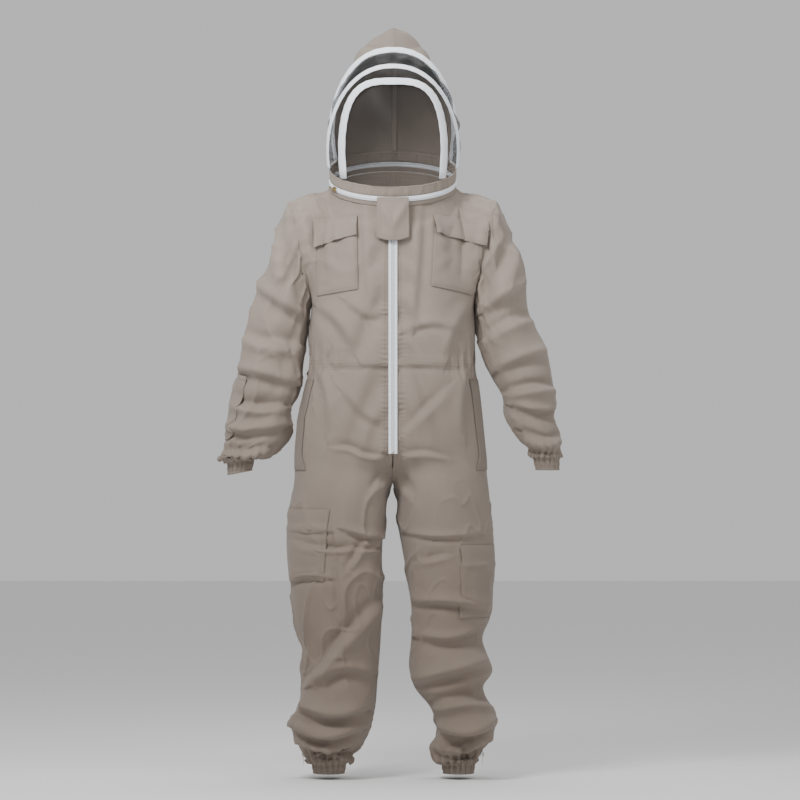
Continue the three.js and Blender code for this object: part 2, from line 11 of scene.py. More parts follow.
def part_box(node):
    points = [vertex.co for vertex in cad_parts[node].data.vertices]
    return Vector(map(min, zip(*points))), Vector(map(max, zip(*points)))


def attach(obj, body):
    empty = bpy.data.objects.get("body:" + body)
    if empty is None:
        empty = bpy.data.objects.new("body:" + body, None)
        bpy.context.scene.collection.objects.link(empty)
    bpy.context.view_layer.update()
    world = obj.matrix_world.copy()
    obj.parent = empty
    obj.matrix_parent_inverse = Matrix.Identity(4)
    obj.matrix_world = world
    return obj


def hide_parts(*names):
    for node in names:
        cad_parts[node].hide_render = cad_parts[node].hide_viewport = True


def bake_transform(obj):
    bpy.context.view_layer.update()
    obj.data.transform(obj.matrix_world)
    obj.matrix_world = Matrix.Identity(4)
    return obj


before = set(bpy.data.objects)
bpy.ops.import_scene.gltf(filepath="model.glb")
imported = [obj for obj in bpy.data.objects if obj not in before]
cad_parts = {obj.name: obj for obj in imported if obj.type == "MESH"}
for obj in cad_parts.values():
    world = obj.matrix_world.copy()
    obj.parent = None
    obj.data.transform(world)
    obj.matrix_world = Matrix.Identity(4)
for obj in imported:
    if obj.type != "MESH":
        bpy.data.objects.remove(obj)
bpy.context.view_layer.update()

# The place it is shown in: a camera level with the hips and straight at the front, a pale matt
# floor just under the ankle cuffs, and three soft boxes in a white room.
FLOOR_DROP = 0.012
ROOM_LIGHT = 0.62
LIGHT_AIM = Vector((0, 0, -0.15))
EYE = Vector((0.0166, -11.0, -0.519))
VIEW_WIDTH = 1.896
AIM_Y = -0.02
camera_data = bpy.data.cameras.new("camera")
camera_data.lens = camera_data.sensor_width * (AIM_Y - EYE.y) / VIEW_WIDTH
camera = bpy.data.objects.new("camera", camera_data)
camera.location = EYE
camera.rotation_euler = (math.radians(90), 0, 0)
bpy.context.collection.objects.link(camera)
bpy.context.scene.camera = camera

FLOOR_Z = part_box("ankle_cuff_left")[0].z - FLOOR_DROP
floor_mesh = bmesh.new()
bmesh.ops.create_grid(floor_mesh, x_segments=2, y_segments=2, size=12)
bmesh.ops.translate(floor_mesh, verts=floor_mesh.verts, vec=(0, 0, FLOOR_Z))
floor_data = bpy.data.meshes.new("floor")
floor_mesh.to_mesh(floor_data)
floor = bpy.data.objects.new("floor", floor_data)
bpy.context.collection.objects.link(floor)
floor_paint = bpy.data.materials.new("floor_paint")
floor_paint.use_nodes = True
floor_shader = floor_paint.node_tree.nodes["Principled BSDF"]
floor_shader.inputs["Base Color"].default_value = (0.8, 0.8, 0.8, 1)
floor_shader.inputs["Roughness"].default_value = 0.9
floor_data.materials.append(floor_paint)

world = bpy.data.worlds.new("studio")
world.use_nodes = True
world.node_tree.nodes["Background"].inputs["Color"].default_value = (1, 1, 1, 1)
world.node_tree.nodes["Background"].inputs["Strength"].default_value = ROOM_LIGHT
bpy.context.scene.world = world
SOFT_BOXES = (
    ("key", (-0.85, -1.5, 1.0), 0.7, 50),
    ("fill", (1.5, -1.6, 0.7), 1.2, 14),
    ("top", (0.1, 0.4, 1.7), 1.1, 22),
)
for light_name, place, size, power in SOFT_BOXES:
    light_data = bpy.data.lights.new(light_name, "AREA")
    light_data.size = size
    light_data.energy = power
    light = bpy.data.objects.new(light_name, light_data)
    light.location = place
    light.rotation_euler = (LIGHT_AIM - light.location).to_track_quat("-Z", "Y").to_euler()
    bpy.context.collection.objects.link(light)


# The coverall's cloth: brown-grey cotton and polyester twill, cut in panels and sewn. Each
# panel is laid out flat as a grid and put in its place round the wearer.
class Wire:
    """A shader socket that takes part in sums."""

    def __init__(self, tree, socket):
        self.tree = tree
        self.socket = socket

    def maths(self, operation, other, swapped=False):
        node = self.tree.nodes.new("ShaderNodeMath")
        node.operation = operation
        pair = (other, self) if swapped else (self, other)
        for slot, value in zip(node.inputs, pair):
            if isinstance(value, Wire):
                self.tree.links.new(value.socket, slot)
            else:
                slot.default_value = value
        return Wire(self.tree, node.outputs[0])

    def __add__(self, other):
        return self.maths("ADD", other)

    def __radd__(self, other):
        return self.maths("ADD", other, True)

    def __sub__(self, other):
        return self.maths("SUBTRACT", other)

    def __rsub__(self, other):
        return self.maths("SUBTRACT", other, True)

    def __mul__(self, other):
        return self.maths("MULTIPLY", other)

    def __rmul__(self, other):
        return self.maths("MULTIPLY", other, True)

    def above(self, edge):
        return self.maths("GREATER_THAN", edge)

    def below(self, edge):
        return self.maths("LESS_THAN", edge)

    def lowest(self, other):
        return self.maths("MINIMUM", other)

    def highest(self, other):
        return self.maths("MAXIMUM", other)

    def sine(self):
        return self.maths("SINE", 0.0)


class Finish:
    """A material on the Principled shader, with its extra nodes made by one method."""

    def __init__(self, name, color, roughness, metallic=0.0, sheen=0.0):
        self.material = bpy.data.materials.new(name)
        self.material.use_nodes = True
        self.tree = self.material.node_tree
        self.shader = self.tree.nodes["Principled BSDF"]
        self.shader.inputs["Base Color"].default_value = (*color, 1)
        self.shader.inputs["Roughness"].default_value = roughness
        self.shader.inputs["Metallic"].default_value = metallic
        self.shader.inputs["Sheen Weight"].default_value = sheen

    def node(self, kind, output=0, settings=None, **inputs):
        node = self.tree.nodes.new(kind)
        for key, value in (settings or {}).items():
            setattr(node, key, value)
        for key, value in inputs.items():
            socket = node.inputs[key.replace("_", " ")]
            if isinstance(value, Wire):
                self.tree.links.new(value.socket, socket)
            else:
                socket.default_value = value
        return Wire(self.tree, node.outputs[output])

    def mix(self, factor, low, high):
        node = self.tree.nodes.new("ShaderNodeMix")
        node.data_type = "RGBA"
        self.tree.links.new(factor.socket, node.inputs["Factor"])
        for socket, value in ((node.inputs[6], low), (node.inputs[7], high)):
            if isinstance(value, Wire):
                self.tree.links.new(value.socket, socket)
            else:
                socket.default_value = (*value, 1)
        return Wire(self.tree, node.outputs[2])

    def feed(self, name, wire):
        self.tree.links.new(wire.socket, self.shader.inputs[name])

    def bump(self, height, strength, distance):
        self.feed("Normal", self.node("ShaderNodeBump", Height=height, Strength=strength,
                                      Distance=distance))


# Tint of the painted shade that darkens the cloth towards the hems.
HEM_SHADE_TINT = (0.70, 0.67, 0.64)


def shade(color, share):
    """A colour made darker or lighter: one share for all of it, or one for each of its parts."""
    shares = share if isinstance(share, tuple) else (share, share, share)
    return tuple(c * k for c, k in zip(color, shares))


def twill(name, color, size=None, stitch_rows=(0.005, 0.011), thread=0.0011):
    """Woven cloth: fine slanting ribs on the panel's own layout, soft mottling, sewn edges."""
    made = Finish(name, color, 0.86, sheen=0.12)
    layout = made.node("ShaderNodeUVMap")
    across = made.node("ShaderNodeSeparateXYZ", 0, Vector=layout)
    along = made.node("ShaderNodeSeparateXYZ", 1, Vector=layout)
    turns = 2 * math.pi / thread
    ribs = ((across + along) * turns).sine()
    weft = ((across - along) * (turns * 1.6)).sine()
    solid = made.node("ShaderNodeTexCoord", "Object")
    mottle = made.node("ShaderNodeTexNoise", "Fac", Vector=solid, Scale=9.0, Detail=4.0, Roughness=0.6)
    slub = made.node("ShaderNodeTexNoise", "Fac", Vector=solid, Scale=420.0, Detail=2.0)
    light, dark = shade(color, 1.13), shade(color, 0.87)
    uneven = mottle * 0.7 + slub * 0.3
    mixed = made.mix(uneven, dark, light)
    worn = made.node("ShaderNodeTexNoise", "Fac", Vector=solid, Scale=34.0, Detail=3.0)
    # Painted shade: the cloth is made darker and browner towards the hems, standing in for the lower legs
    # getting less light.
    height = made.node("ShaderNodeSeparateXYZ", 2, Vector=solid)
    low = ((height + 0.30) * -1.5).lowest(1.0).highest(0.0)
    mixed = made.mix(low, mixed, made.mix(uneven, shade(dark, HEM_SHADE_TINT), shade(light, HEM_SHADE_TINT)))
    made.feed("Roughness", 0.78 + worn * 0.16)
    relief = ribs * 0.6 + weft * 0.2 + slub * 0.8
    if size:
        inset = (across.lowest(size[0] - across)).lowest(along.lowest(size[1] - along))
        dash = ((across + along) * (2 * math.pi / 0.0042)).sine().above(-0.35)
        thread_mask = sum(((inset - row).maths("ABSOLUTE", 0.0).below(0.0009) for row in stitch_rows), 0.0)
        thread_mask = thread_mask * dash
        relief = relief - thread_mask * 3.0
        made.feed("Base Color", made.mix(thread_mask * 0.45, mixed, shade(color, 0.55)))
    else:
        made.feed("Base Color", made.mix((ribs * 0.5 + 0.5) * 0.22, mixed, shade(color, 0.7)))
    made.bump(relief, 0.5, 0.0004)
    return made.material


CLOTH_COLOR = (0.300, 0.248, 0.208)
BODICE_SIZE = (0.26, 0.41)
LEG_SIZE = (0.26, 0.95)
cloth_finish = twill("cotton_twill", CLOTH_COLOR)
bodice_finish = twill("twill_bodice", CLOTH_COLOR, BODICE_SIZE)
leg_finish = twill("twill_leg", CLOTH_COLOR, LEG_SIZE)

NECK_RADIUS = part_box("veil_hem")[1].x
NECK_TILT = math.radians(18.9)
NECK_DROP = 0.0185
SHOULDER = Vector((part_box("front_bodice_left")[1].x, 0, -0.032))
UNDERARM = Vector((0.195, 0, -0.285))
ARMHOLE_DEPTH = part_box("sleeve_left")[1].y
WAIST_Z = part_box("front_bodice_left")[0].z
ANKLE_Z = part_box("front_trouser_left")[0].z
CROTCH_Z = WAIST_Z - 0.223
FRONT_Y = -0.1359
SQUARENESS = 2.3


def lerp(a, b, t):
    return a + (b - a) * t


def profile(*numbers):
    """A smooth curve through heights and their values, in millimetres by turns, highest first."""
    heights = np.array(numbers[0::2][::-1]) / 1000
    values = np.array(numbers[1::2][::-1]) / 1000
    slopes = np.gradient(values, heights)

    def at(z):
        i = int(np.clip(np.searchsorted(heights, z) - 1, 0, len(heights) - 2))
        run = heights[i + 1] - heights[i]
        t = min(max((z - heights[i]) / run, 0), 1)
        a = (2 * t ** 3 - 3 * t ** 2 + 1) * values[i] + (t ** 3 - 2 * t ** 2 + t) * run * slopes[i]
        return a + (3 * t ** 2 - 2 * t ** 3) * values[i + 1] + (t ** 3 - t ** 2) * run * slopes[i + 1]

    return at


# Half widths down each side: the wearer's left, which is +X, and the wearer's right.
HALF = {
    1: profile(-285, 196, -360, 198, -427, 194, -470, 200, -576, 213, -685, 228, -806, 238, -870, 242,
               -946, 239, -1019, 231, -1069, 215, -1105, 228, -1142, 244, -1190, 224, -1228, 244,
               -1277, 256, -1318, 240, -1350, 212, -1378, 199),
    -1: profile(-285, 197, -360, 199, -427, 194, -488, 206, -595, 225, -704, 236, -806, 249, -896, 251,
                -984, 246, -1059, 230, -1081, 221, -1130, 226, -1200, 229, -1232, 237, -1262, 256,
                -1294, 250, -1334, 228, -1360, 208, -1378, 197),
}
INSIDE = {
    1: profile(-650, 2, -770, 5, -825, 11, -900, 25, -980, 36, -1070, 43, -1150, 44, -1187, 56,
               -1232, 90, -1270, 100, -1320, 93, -1350, 96, -1378, 112),
    -1: profile(-650, 2, -770, 5, -803, 10, -927, 20, -1047, 31, -1171, 40, -1240, 50, -1300, 66,
                -1340, 92, -1378, 108),
}
BACK = profile(-285, 137, -427, 129, -583, 150, -650, 148)
LEG_DEPTH = profile(-650, 134, -745, 126, -980, 104, -1100, 88, -1180, 92, -1288, 90, -1348, 70,
                    -1378, 52)


def rounded(value):
    return max(value, 0) ** (2 / SQUARENESS)


def ring_point(angle, up, radius=NECK_RADIUS):
    p = Vector((radius * math.sin(angle), -radius * math.cos(angle), up))
    return Matrix.Rotation(NECK_TILT, 3, "X") @ p


def trunk(u, z, side, hand):
    depth = -FRONT_Y if side < 0 else BACK(z)
    width = HALF[hand](z)
    return Vector((hand * width * rounded(math.sin(u * math.pi / 2)),
                   side * depth * rounded(math.cos(u * math.pi / 2)), z))


def mirrored(p, hand):
    return Vector((p.x * hand, p.y, p.z))


def armhole(w, side):
    p = (SHOULDER + UNDERARM) / 2 - (SHOULDER - UNDERARM) / 2 * math.cos(math.pi * w)
    p.y = side * ARMHOLE_DEPTH * math.sin(math.pi * w)
    return p


NECK_SHARE = 0.62


def top_edge(u, side):
    if u <= NECK_SHARE:
        quarter = u / NECK_SHARE * math.pi / 2
        return ring_point(quarter if side < 0 else math.pi - quarter, -NECK_DROP)
    return ring_point(math.pi / 2, -NECK_DROP).lerp(SHOULDER, (u - NECK_SHARE) / (1 - NECK_SHARE))


def patch(u, w, fade, foot, top, inner, outer):
    """A surface that fills four edges; the outer edge's bow fades towards the inner edge."""
    f = max(u, 0) ** fade
    p = inner(w) * (1 - f) + outer(w) * f + foot(u) * (1 - w) + top(u) * w
    return p - (foot(0) * (1 - f) + foot(1) * f) * (1 - w) - (top(0) * (1 - f) + top(1) * f) * w


def bodice(u, v, side, hand):
    split = 0.4
    if v < split:
        return trunk(u, lerp(WAIST_Z, UNDERARM.z, v / split), side, hand)
    w = (v - split) / (1 - split)
    neck = top_edge(0, side)
    chest = trunk(0, UNDERARM.z, side, hand)
    return patch(u, w, 2, lambda t: trunk(t, UNDERARM.z, side, hand),
                 lambda t: mirrored(top_edge(t, side), hand),
                 lambda t: Vector((0, lerp(chest.y, neck.y, t), lerp(chest.z, neck.z, t))),
                 lambda t: mirrored(armhole(t, side), hand))


def leg(u, z, side, hand):
    outer, inner = HALF[hand](z), INSIDE[hand](z)
    angle = math.pi * (1 - u)
    return Vector((hand * ((outer + inner) / 2 + (outer - inner) / 2 * math.cos(angle)),
                   side * LEG_DEPTH(z) * math.sin(angle), z))


CROTCH_RUN = 0.095


def trouser(u, v, side, hand):
    z = lerp(ANKLE_Z, WAIST_Z, v)
    if z >= CROTCH_Z:
        return trunk(u, z, side, hand)
    run = min((CROTCH_Z - z) / CROTCH_RUN, 1)
    above = trunk(u, CROTCH_Z, side, hand)
    above.z = z
    return above.lerp(leg(u, z, side, hand), math.sin(run * math.pi / 2))


def lay_out(bm, across, along, place, panel, size):
    """A grid of cloth put in its place, with a flat layout in metres for its weave."""
    made = bmesh.ops.create_grid(bm, x_segments=across, y_segments=along, size=0.5)
    layout = bm.loops.layers.uv.verify()
    faces = {f for v in made["verts"] for f in v.link_faces}
    for face in faces:
        face.material_index = panel
        face.smooth = True
        for loop in face.loops:
            loop[layout].uv = ((loop.vert.co.x + 0.5) * size[0], (loop.vert.co.y + 0.5) * size[1])
    for vert in made["verts"]:
        vert.co = place(vert.co.x + 0.5, vert.co.y + 0.5)
    return made["verts"]


def sew(bm, reach=1e-5):
    """Joins the edges of a cloth that meet, and turns its faces one way."""
    bmesh.ops.remove_doubles(bm, verts=bm.verts, dist=reach)
    bmesh.ops.recalc_face_normals(bm, faces=bm.faces)


def make_object(name, bm, *materials):
    data = bpy.data.meshes.new(name)
    bm.to_mesh(data)
    bm.free()
    made = bpy.data.objects.new(name, data)
    bpy.context.collection.objects.link(made)
    for material in materials:
        data.materials.append(material)
    return made


def bake(made):
    """Puts a piece's modifiers into its mesh."""
    bpy.context.view_layer.update()
    final = bpy.data.meshes.new_from_object(made.evaluated_get(bpy.context.evaluated_depsgraph_get()))
    old = made.data
    made.modifiers.clear()
    made.data = final
    final.name = old.name + "_made"
    bpy.data.meshes.remove(old)


def points_of(made):
    co = np.empty(len(made.data.vertices) * 3, np.float32)
    made.data.vertices.foreach_get("co", co)
    return co.reshape(-1, 3).astype(float)


def normals_of(made):
    out = np.empty(len(made.data.vertices) * 3, np.float32)
    made.data.vertices.foreach_get("normal", out)
    return out.reshape(-1, 3).astype(float)


def set_points(made, co):
    made.data.vertices.foreach_set("co", co.astype(np.float32).ravel())
    made.data.update()


def smooth_step(t):
    t = np.clip(t, 0, 1)
    return t * t * (3 - 2 * t)


CLOTH_FRAMES = 22


def drape(made, pinned, grow, pressure, most):
    """Lets a sewn tube of cloth settle: cut a little too big, so that it buckles into folds."""
    before = points_of(made)
    group = made.vertex_groups.new(name="held")
    for i, weight in enumerate(pinned):
        group.add([i], float(weight), "REPLACE")
    cloth = made.modifiers.new("cloth", "CLOTH")
    settings = cloth.settings
    settings.quality = 5
    settings.mass = 0.25
    settings.tension_stiffness = 12
    settings.compression_stiffness = 12
    settings.shear_stiffness = 6
    settings.bending_stiffness = 0.35
    settings.air_damping = 2
    settings.vertex_group_mass = "held"
    settings.pin_stiffness = 1
    settings.shrink_min = -grow
    settings.use_pressure = True
    settings.uniform_pressure_force = pressure
    settings.effector_weights.gravity = 0.25
    cloth.collision_settings.use_collision = False
    scene = bpy.context.scene
    for step in range(1, CLOTH_FRAMES + 1):
        scene.frame_set(step)
    moved = bpy.data.meshes.new_from_object(made.evaluated_get(bpy.context.evaluated_depsgraph_get()))
    after = np.empty(len(moved.vertices) * 3, np.float32)
    moved.vertices.foreach_get("co", after)
    after = after.reshape(-1, 3).astype(float)
    bpy.data.meshes.remove(moved)
    made.modifiers.clear()
    made.vertex_groups.clear()
    scene.frame_set(1)
    shift = after - before
    length = np.linalg.norm(shift, axis=1, keepdims=True)
    limit = most[:, None]
    shift *= limit * np.tanh(length / limit) / np.maximum(length, 1e-9)
    set_points(made, before + shift)


def refine(made, level=1):
    step = made.modifiers.new("refine", "SUBSURF")
    step.levels = level
    step.render_levels = level
    bake(made)


PANELS = ("front_bodice_left", "front_bodice_right", "back_bodice", "front_trouser_left",
          "front_trouser_right", "back_trouser_left", "back_trouser_right")
suit_mesh = bmesh.new()
ACROSS, BODICE_ROWS, LEG_ROWS = 26, 40, 96
for hand in (1, -1):
    for side in (-1, 1):
        lay_out(suit_mesh, ACROSS, BODICE_ROWS, lambda u, v: bodice(u, v, side, hand),
                (0 if hand > 0 else 1) if side < 0 else 2, BODICE_SIZE)
        lay_out(suit_mesh, ACROSS, LEG_ROWS, lambda u, v: trouser(u, v, side, hand),
                (3 if side < 0 else 5) + (0 if hand > 0 else 1), LEG_SIZE)
sew(suit_mesh, 1e-4)
suit = make_object("suit", suit_mesh)
for _ in PANELS:
    suit.data.materials.append(cloth_finish)


def spread(value, middle, reach):
    """1 at the middle, fading to 0 at the reach."""
    return np.exp(-((value - middle) / reach) ** 2)


def crumple(co, scale, seed):
    """Uneven cloth: a cheap noise value for each point."""
    return np.array([perlin(Vector((p[0], p[1], p[2])) * scale + Vector((seed, 0, 0))) for p in co])


co = points_of(suit)
normal = normals_of(suit)
co += normal * (0.006 * crumple(co, 7.0, 3.0) * smooth_step((-co[:, 2] - 0.1) / 0.3))[:, None]
set_points(suit, co)
held = np.full(len(co), 0.03)
held[(np.abs(co[:, 0]) < 0.016) & (co[:, 1] < -0.12)] = 1
held[co[:, 2] < ANKLE_Z + 0.004] = 1
held[(co[:, 2] > UNDERARM.z - 0.002) & (np.abs(co[:, 0]) > 0.19)] = 0.4
round_neck = np.hypot(co[:, 0], co[:, 1]) < NECK_RADIUS + 0.008
held[round_neck & (co[:, 2] > -0.1)] = 1
drape(suit, held, 0.07, 1.2, 0.010 + 0.012 * smooth_step((-co[:, 2] - 0.45) / 0.5))
refine(suit)


def fold_line(co, normal, points, width, height, front=True):
    """Raises one side of a line and sinks the other, as a pressed or hanging fold does."""
    for _ in range(3 if len(points) > 2 else 0):
        cut = [points[0]]
        for (ax, az), (bx, bz) in zip(points, points[1:]):
            cut += [(0.75 * ax + 0.25 * bx, 0.75 * az + 0.25 * bz),
                    (0.25 * ax + 0.75 * bx, 0.25 * az + 0.75 * bz)]
        points = cut + [points[-1]]
    flat = co[:, [0, 2]]
    best = np.full(len(co), 1e9)
    signed = np.zeros(len(co))
    fade = np.zeros(len(co))
    lengths = [math.dist(a, b) for a, b in zip(points, points[1:])]
    run, total = 0.0, sum(lengths)
    for (a, b), length in zip(zip(points, points[1:]), lengths):
        a, b = np.array(a), np.array(b)
        d = (b - a) / length
        t = np.clip((flat - a) @ d, 0, length)
        off = flat - (a + t[:, None] * d)
        far = np.linalg.norm(off, axis=1)
        nearer = far < best
        side = np.sign(off @ np.array((-d[1], d[0])))
        best = np.where(nearer, far, best)
        signed = np.where(nearer, side * far, signed)
        share = (run + t) / total
        fade = np.where(nearer, np.sin(np.pi * np.clip(share, 0.04, 0.96)) ** 0.5, fade)
        run += length
    s = signed / width
    shape = (s * 1.6 * np.exp(-s * s) + 0.35 * np.exp(-((s - 1.4) / 1.2) ** 2)) * fade
    facing = smooth_step(-normal[:, 1] * 2.5) if front else smooth_step(normal[:, 1] * 2.5)
    return co + normal * (height * shape * facing)[:, None]


def folds(*rows):
    """Fold lines from rows in millimetres: the width, the height, then each point's x and z."""
    return [([(x / 1000, z / 1000) for x, z in zip(row[2::2], row[3::2])], row[0] / 1000, row[1] / 1000)
            for row in rows]


# Pressed and hanging folds in the front of the suit, and then in its back.
FRONT_FOLDS = folds(
    (7, 5, -230, -827, -147, -830), (8, 6, -116, -825, -64, -844, -26, -846),
    (8, -6, -235, -853, -185, -867, -135, -872, -90, -867), (9, 6, -64, -844, -85, -882, -109, -917),
    (6, -5, -78, -872, -28, -872), (7, 4, -142, -827, -133, -870),
    (10, 5, -130, -905, -126, -960, -128, -1030), (9, 6, -242, -955, -216, -936, -154, -939),
    (8, -5, -137, -630, -102, -630, -71, -649, -21, -652), (9, -4, 21, -650, 70, -640, 130, -655),
    (12, 6, -12, -690, -50, -735), (12, -5, 12, -700, 45, -750),
    (18, 11, -31, -993, -110, -1070, -213, -1194), (14, -8, -45, -1170, -120, -1150, -190, -1190),
    (15, 13, -235, -1245, -150, -1275, -66, -1255), (14, 12, -240, -1295, -160, -1325, -75, -1300),
    (11, 9, -220, -1335, -160, -1355, -100, -1338), (8, 5, 30, -835, 100, -845, 200, -838),
    (10, -4, 60, -900, 130, -885), (12, 8, 45, -1000, 130, -995, 225, -1018),
    (14, -8, 215, -1060, 140, -1090, 60, -1080), (16, 12, 50, -1190, 140, -1165, 235, -1143),
    (15, -12, 95, -1240, 170, -1222, 240, -1235), (15, 13, 100, -1300, 180, -1315, 250, -1285),
    (12, 10, 90, -1345, 150, -1362, 220, -1330), (16, 6, -190, -430, -160, -500, -155, -600),
    (16, -6, 185, -440, 165, -520, 170, -600), (18, 6, -180, -300, -130, -340, -90, -410),
    (18, -6, 185, -300, 150, -350, 130, -420), (10, 3, -150, -440, 150, -440),
    (14, 4, -75, -50, -68, -200, -55, -330), (14, -4, 70, -60, 64, -200, 50, -350),
    (14, 5, -225, -70, -200, -200), (14, -5, 232, -80, 205, -200),
    (13, 3.5, -110, -290, -60, -330, -20, -320), (12, 3.5, 30, -360, 90, -340, 150, -355),
    (14, 4, -120, -500, -70, -560, -20, -580), (14, 4, 130, -490, 70, -550, 20, -600),
)
FOLD_GAIN = 1.5
BACK_FOLDS = folds(
    (16, 8, -160, -700, -100, -730, -30, -720), (16, 8, 160, -710, 100, -735, 30, -730),
    (16, 9, -220, -1000, -130, -1040, -50, -1020), (16, 9, 220, -1020, 130, -1000, 50, -1040),
    (15, 12, -230, -1260, -150, -1280, -70, -1250), (15, 12, 240, -1250, 160, -1280, 90, -1260),
    (20, 6, -120, -150, -70, -250, -60, -360), (20, -6, 120, -150, 80, -240, 50, -370),
)


def creases(co, normal, depth, scale, seed, stretch=(1, 1, 0.55)):
    """Sharp creases and soft dents between them, as cotton keeps from wear and packing."""
    at = co * np.array(stretch)
    warp = np.stack([crumple(at, scale * 0.5, seed + k) for k in (1, 2, 3)], axis=1) * 0.06
    first = crumple(at + warp, scale, seed)
    second = crumple(at + warp * 0.5, scale * 2.3, seed + 9)
    ridges = np.exp(-np.abs(first) * 16) * smooth_step((crumple(at, scale * 0.4, seed + 5) + 0.2) * 2.5)
    fine = np.exp(-np.abs(second) * 14) * smooth_step((crumple(at, scale * 0.7, seed + 6) + 0.1) * 2.5)
    return co + normal * (depth * (ridges + 0.5 * fine + 0.6 * first - 0.35))[:, None]


SHOULDER_DROP = 0.014
PUCKER_PITCH = 0.0105
refine(suit)
co = points_of(suit)
normal = normals_of(suit)
low_share = smooth_step((-co[:, 2] - 0.25) / 0.7)
co = creases(co, normal, 0.0036 + 0.0042 * low_share, 9.0, 41.0)
for points, width, height in FRONT_FOLDS:
    co = fold_line(co, normal, points, width, height * FOLD_GAIN)
for points, width, height in BACK_FOLDS:
    co = fold_line(co, normal, points, width, height * FOLD_GAIN, front=False)
x, y, z = co.T
# The shoulders slope down towards the arms.
z -= SHOULDER_DROP * smooth_step((np.abs(x) - 0.185) / 0.06) * smooth_step((z + 0.14) / 0.10)
# The zip's stitching draws the cloth up beside it, and the elastic gathers the waist.
jitter = crumple(co, 30.0, 9.0)
beside_zip = spread(np.abs(x), 0.019, 0.009) * (y < -0.1) * smooth_step((-z - 0.27) / 0.05) * (z > -0.66)
pucker = np.sin(2 * math.pi * z / PUCKER_PITCH + 5 * jitter) * (0.6 + 0.8 * jitter)
co += normal * (0.0016 * pucker * beside_zip)[:, None]
round_waist = np.arctan2(x, -y)
gathered = smooth_step((np.abs(round_waist) - 0.75) / 0.35)
pleats = np.sin(round_waist * 46 + 2.5 * jitter) + 0.5 * np.sin(round_waist * 81)
co += normal * (gathered * spread(z, WAIST_Z, 0.034) * (0.0030 * pleats - 0.003))[:, None]
round_leg = np.arctan2(y, np.abs(x) - 0.155)
near_hem = smooth_step((ANKLE_Z + 0.055 - z) / 0.05)
co += normal * (0.004 * np.sin(round_leg * 19 + 2 * jitter) * near_hem)[:, None]
# The zips lie flat on the outside of each ankle.
for hand, name in ((1, "left"), (-1, "right")):
    low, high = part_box(f"ankle_zip_tape_{name}")
    near, far = (low.x, high.x) if hand > 0 else (high.x, low.x)
    share = (co[:, 2] - low.z) / (high.z - low.z)
    line_x = near + (far - near) * share - hand * 0.004
    beside = 1 - smooth_step((np.abs(co[:, 1]) - 0.014) / 0.022)
    along_zip = smooth_step((share + 0.12) / 0.1) * (1 - smooth_step((share - 1.0) / 0.25))
    weight = beside * along_zip * (co[:, 0] * hand > 0.17)
    co[:, 0] += (line_x - co[:, 0]) * weight
set_points(suit, co)


def rim_points(made):
    """The vertices on the open edges of a cloth."""
    bm = bmesh.new()
    bm.from_mesh(made.data)
    found = [v.index for v in bm.verts if v.is_boundary]
    bm.free()
    return np.array(found)


suit_rim = co[rim_points(suit)]
armhole_rim = {hand: suit_rim[(suit_rim[:, 0] * hand > 0.19) & (suit_rim[:, 2] > UNDERARM.z - 0.01)]
               for hand in (1, -1)}

CLOTH_WALL = 0.0011
# Width and length that each panel was cut to.
PANEL_CUTS = {"front_bodice": (0.28, 0.45), "back_bodice": (0.58, 0.50),
              "front_trouser": (0.34, 1.06), "back_trouser": (0.36, 1.08)}


def cut_size(name):
    return PANEL_CUTS[name.replace("_left", "").replace("_right", "")]


def thicken(made, wall=CLOTH_WALL, offset=-1):
    step = made.modifiers.new("wall", "SOLIDIFY")
    step.thickness = wall
    step.offset = offset
    bake(made)


def fitted(made, node, slot, body, **sheet):
    """Puts a finished piece in its solid's place on its body; the flat size that a piece of cloth gives is
    not used.
    """
    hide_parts(node)
    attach(made, body)
    return made


for number, name in enumerate(PANELS):
    bm = bmesh.new()
    bm.from_mesh(suit.data)
    bmesh.ops.delete(bm, geom=[f for f in bm.faces if f.material_index != number], context="FACES")
    for face in bm.faces:
        face.material_index = 0
    panel = make_object(name + "_cloth", bm, bodice_finish if "bodice" in name else leg_finish)
    thicken(panel)
    fitted(panel, name, "cloth", "root", flat=cut_size(name), held="hung")
suit_tree = BVHTree.FromObject(suit, bpy.context.evaluated_depsgraph_get())
bpy.data.objects.remove(suit)

# Sleeves, of the same twill: one panel each, sewn up under the arm and to the bodice's armhole,
# cut full so that they crease at the elbow, and drawn in to the cuff.
OUTER_ARM = {
    1: [(0.240, -0.032), (0.292, -0.137), (0.328, -0.22), (0.345, -0.315), (0.38, -0.40),
        (0.402, -0.50), (0.396, -0.552), (0.413, -0.60), (0.400, -0.655)],
    -1: [(0.240, -0.032), (0.294, -0.149), (0.340, -0.262), (0.367, -0.358), (0.388, -0.462),
         (0.399, -0.545), (0.412, -0.605), (0.416, -0.65), (0.398, -0.668)],
}
INNER_ARM = {
    1: [(0.195, -0.285), (0.198, -0.32), (0.204, -0.355), (0.214, -0.395), (0.243, -0.455),
        (0.272, -0.505), (0.277, -0.552), (0.304, -0.595), (0.328, -0.655)],
    -1: [(0.195, -0.285), (0.200, -0.33), (0.208, -0.37), (0.213, -0.41), (0.227, -0.49),
         (0.250, -0.53), (0.250, -0.582), (0.29, -0.638), (0.324, -0.655)],
}
ARM_DEPTH = [ARMHOLE_DEPTH, 0.080, 0.078, 0.074, 0.068, 0.062, 0.058, 0.052, 0.042]
SLEEVE_SIZE = (0.46, 0.62)
sleeve_finish = twill("twill_sleeve", CLOTH_COLOR, SLEEVE_SIZE)


def along_list(values, t):
    """A smooth pass through a list of numbers, t from 0 to 1."""
    x = t * (len(values) - 1)
    i = min(int(x), len(values) - 2)
    f = x - i
    p0, p1, p2, p3 = (values[min(max(i + k, 0), len(values) - 1)] for k in (-1, 0, 1, 2))
    return 0.5 * (2 * p1 + (p2 - p0) * f + (2 * p0 - 5 * p1 + 4 * p2 - p3) * f ** 2
                  + (3 * p1 - p0 - 3 * p2 + p3) * f ** 3)


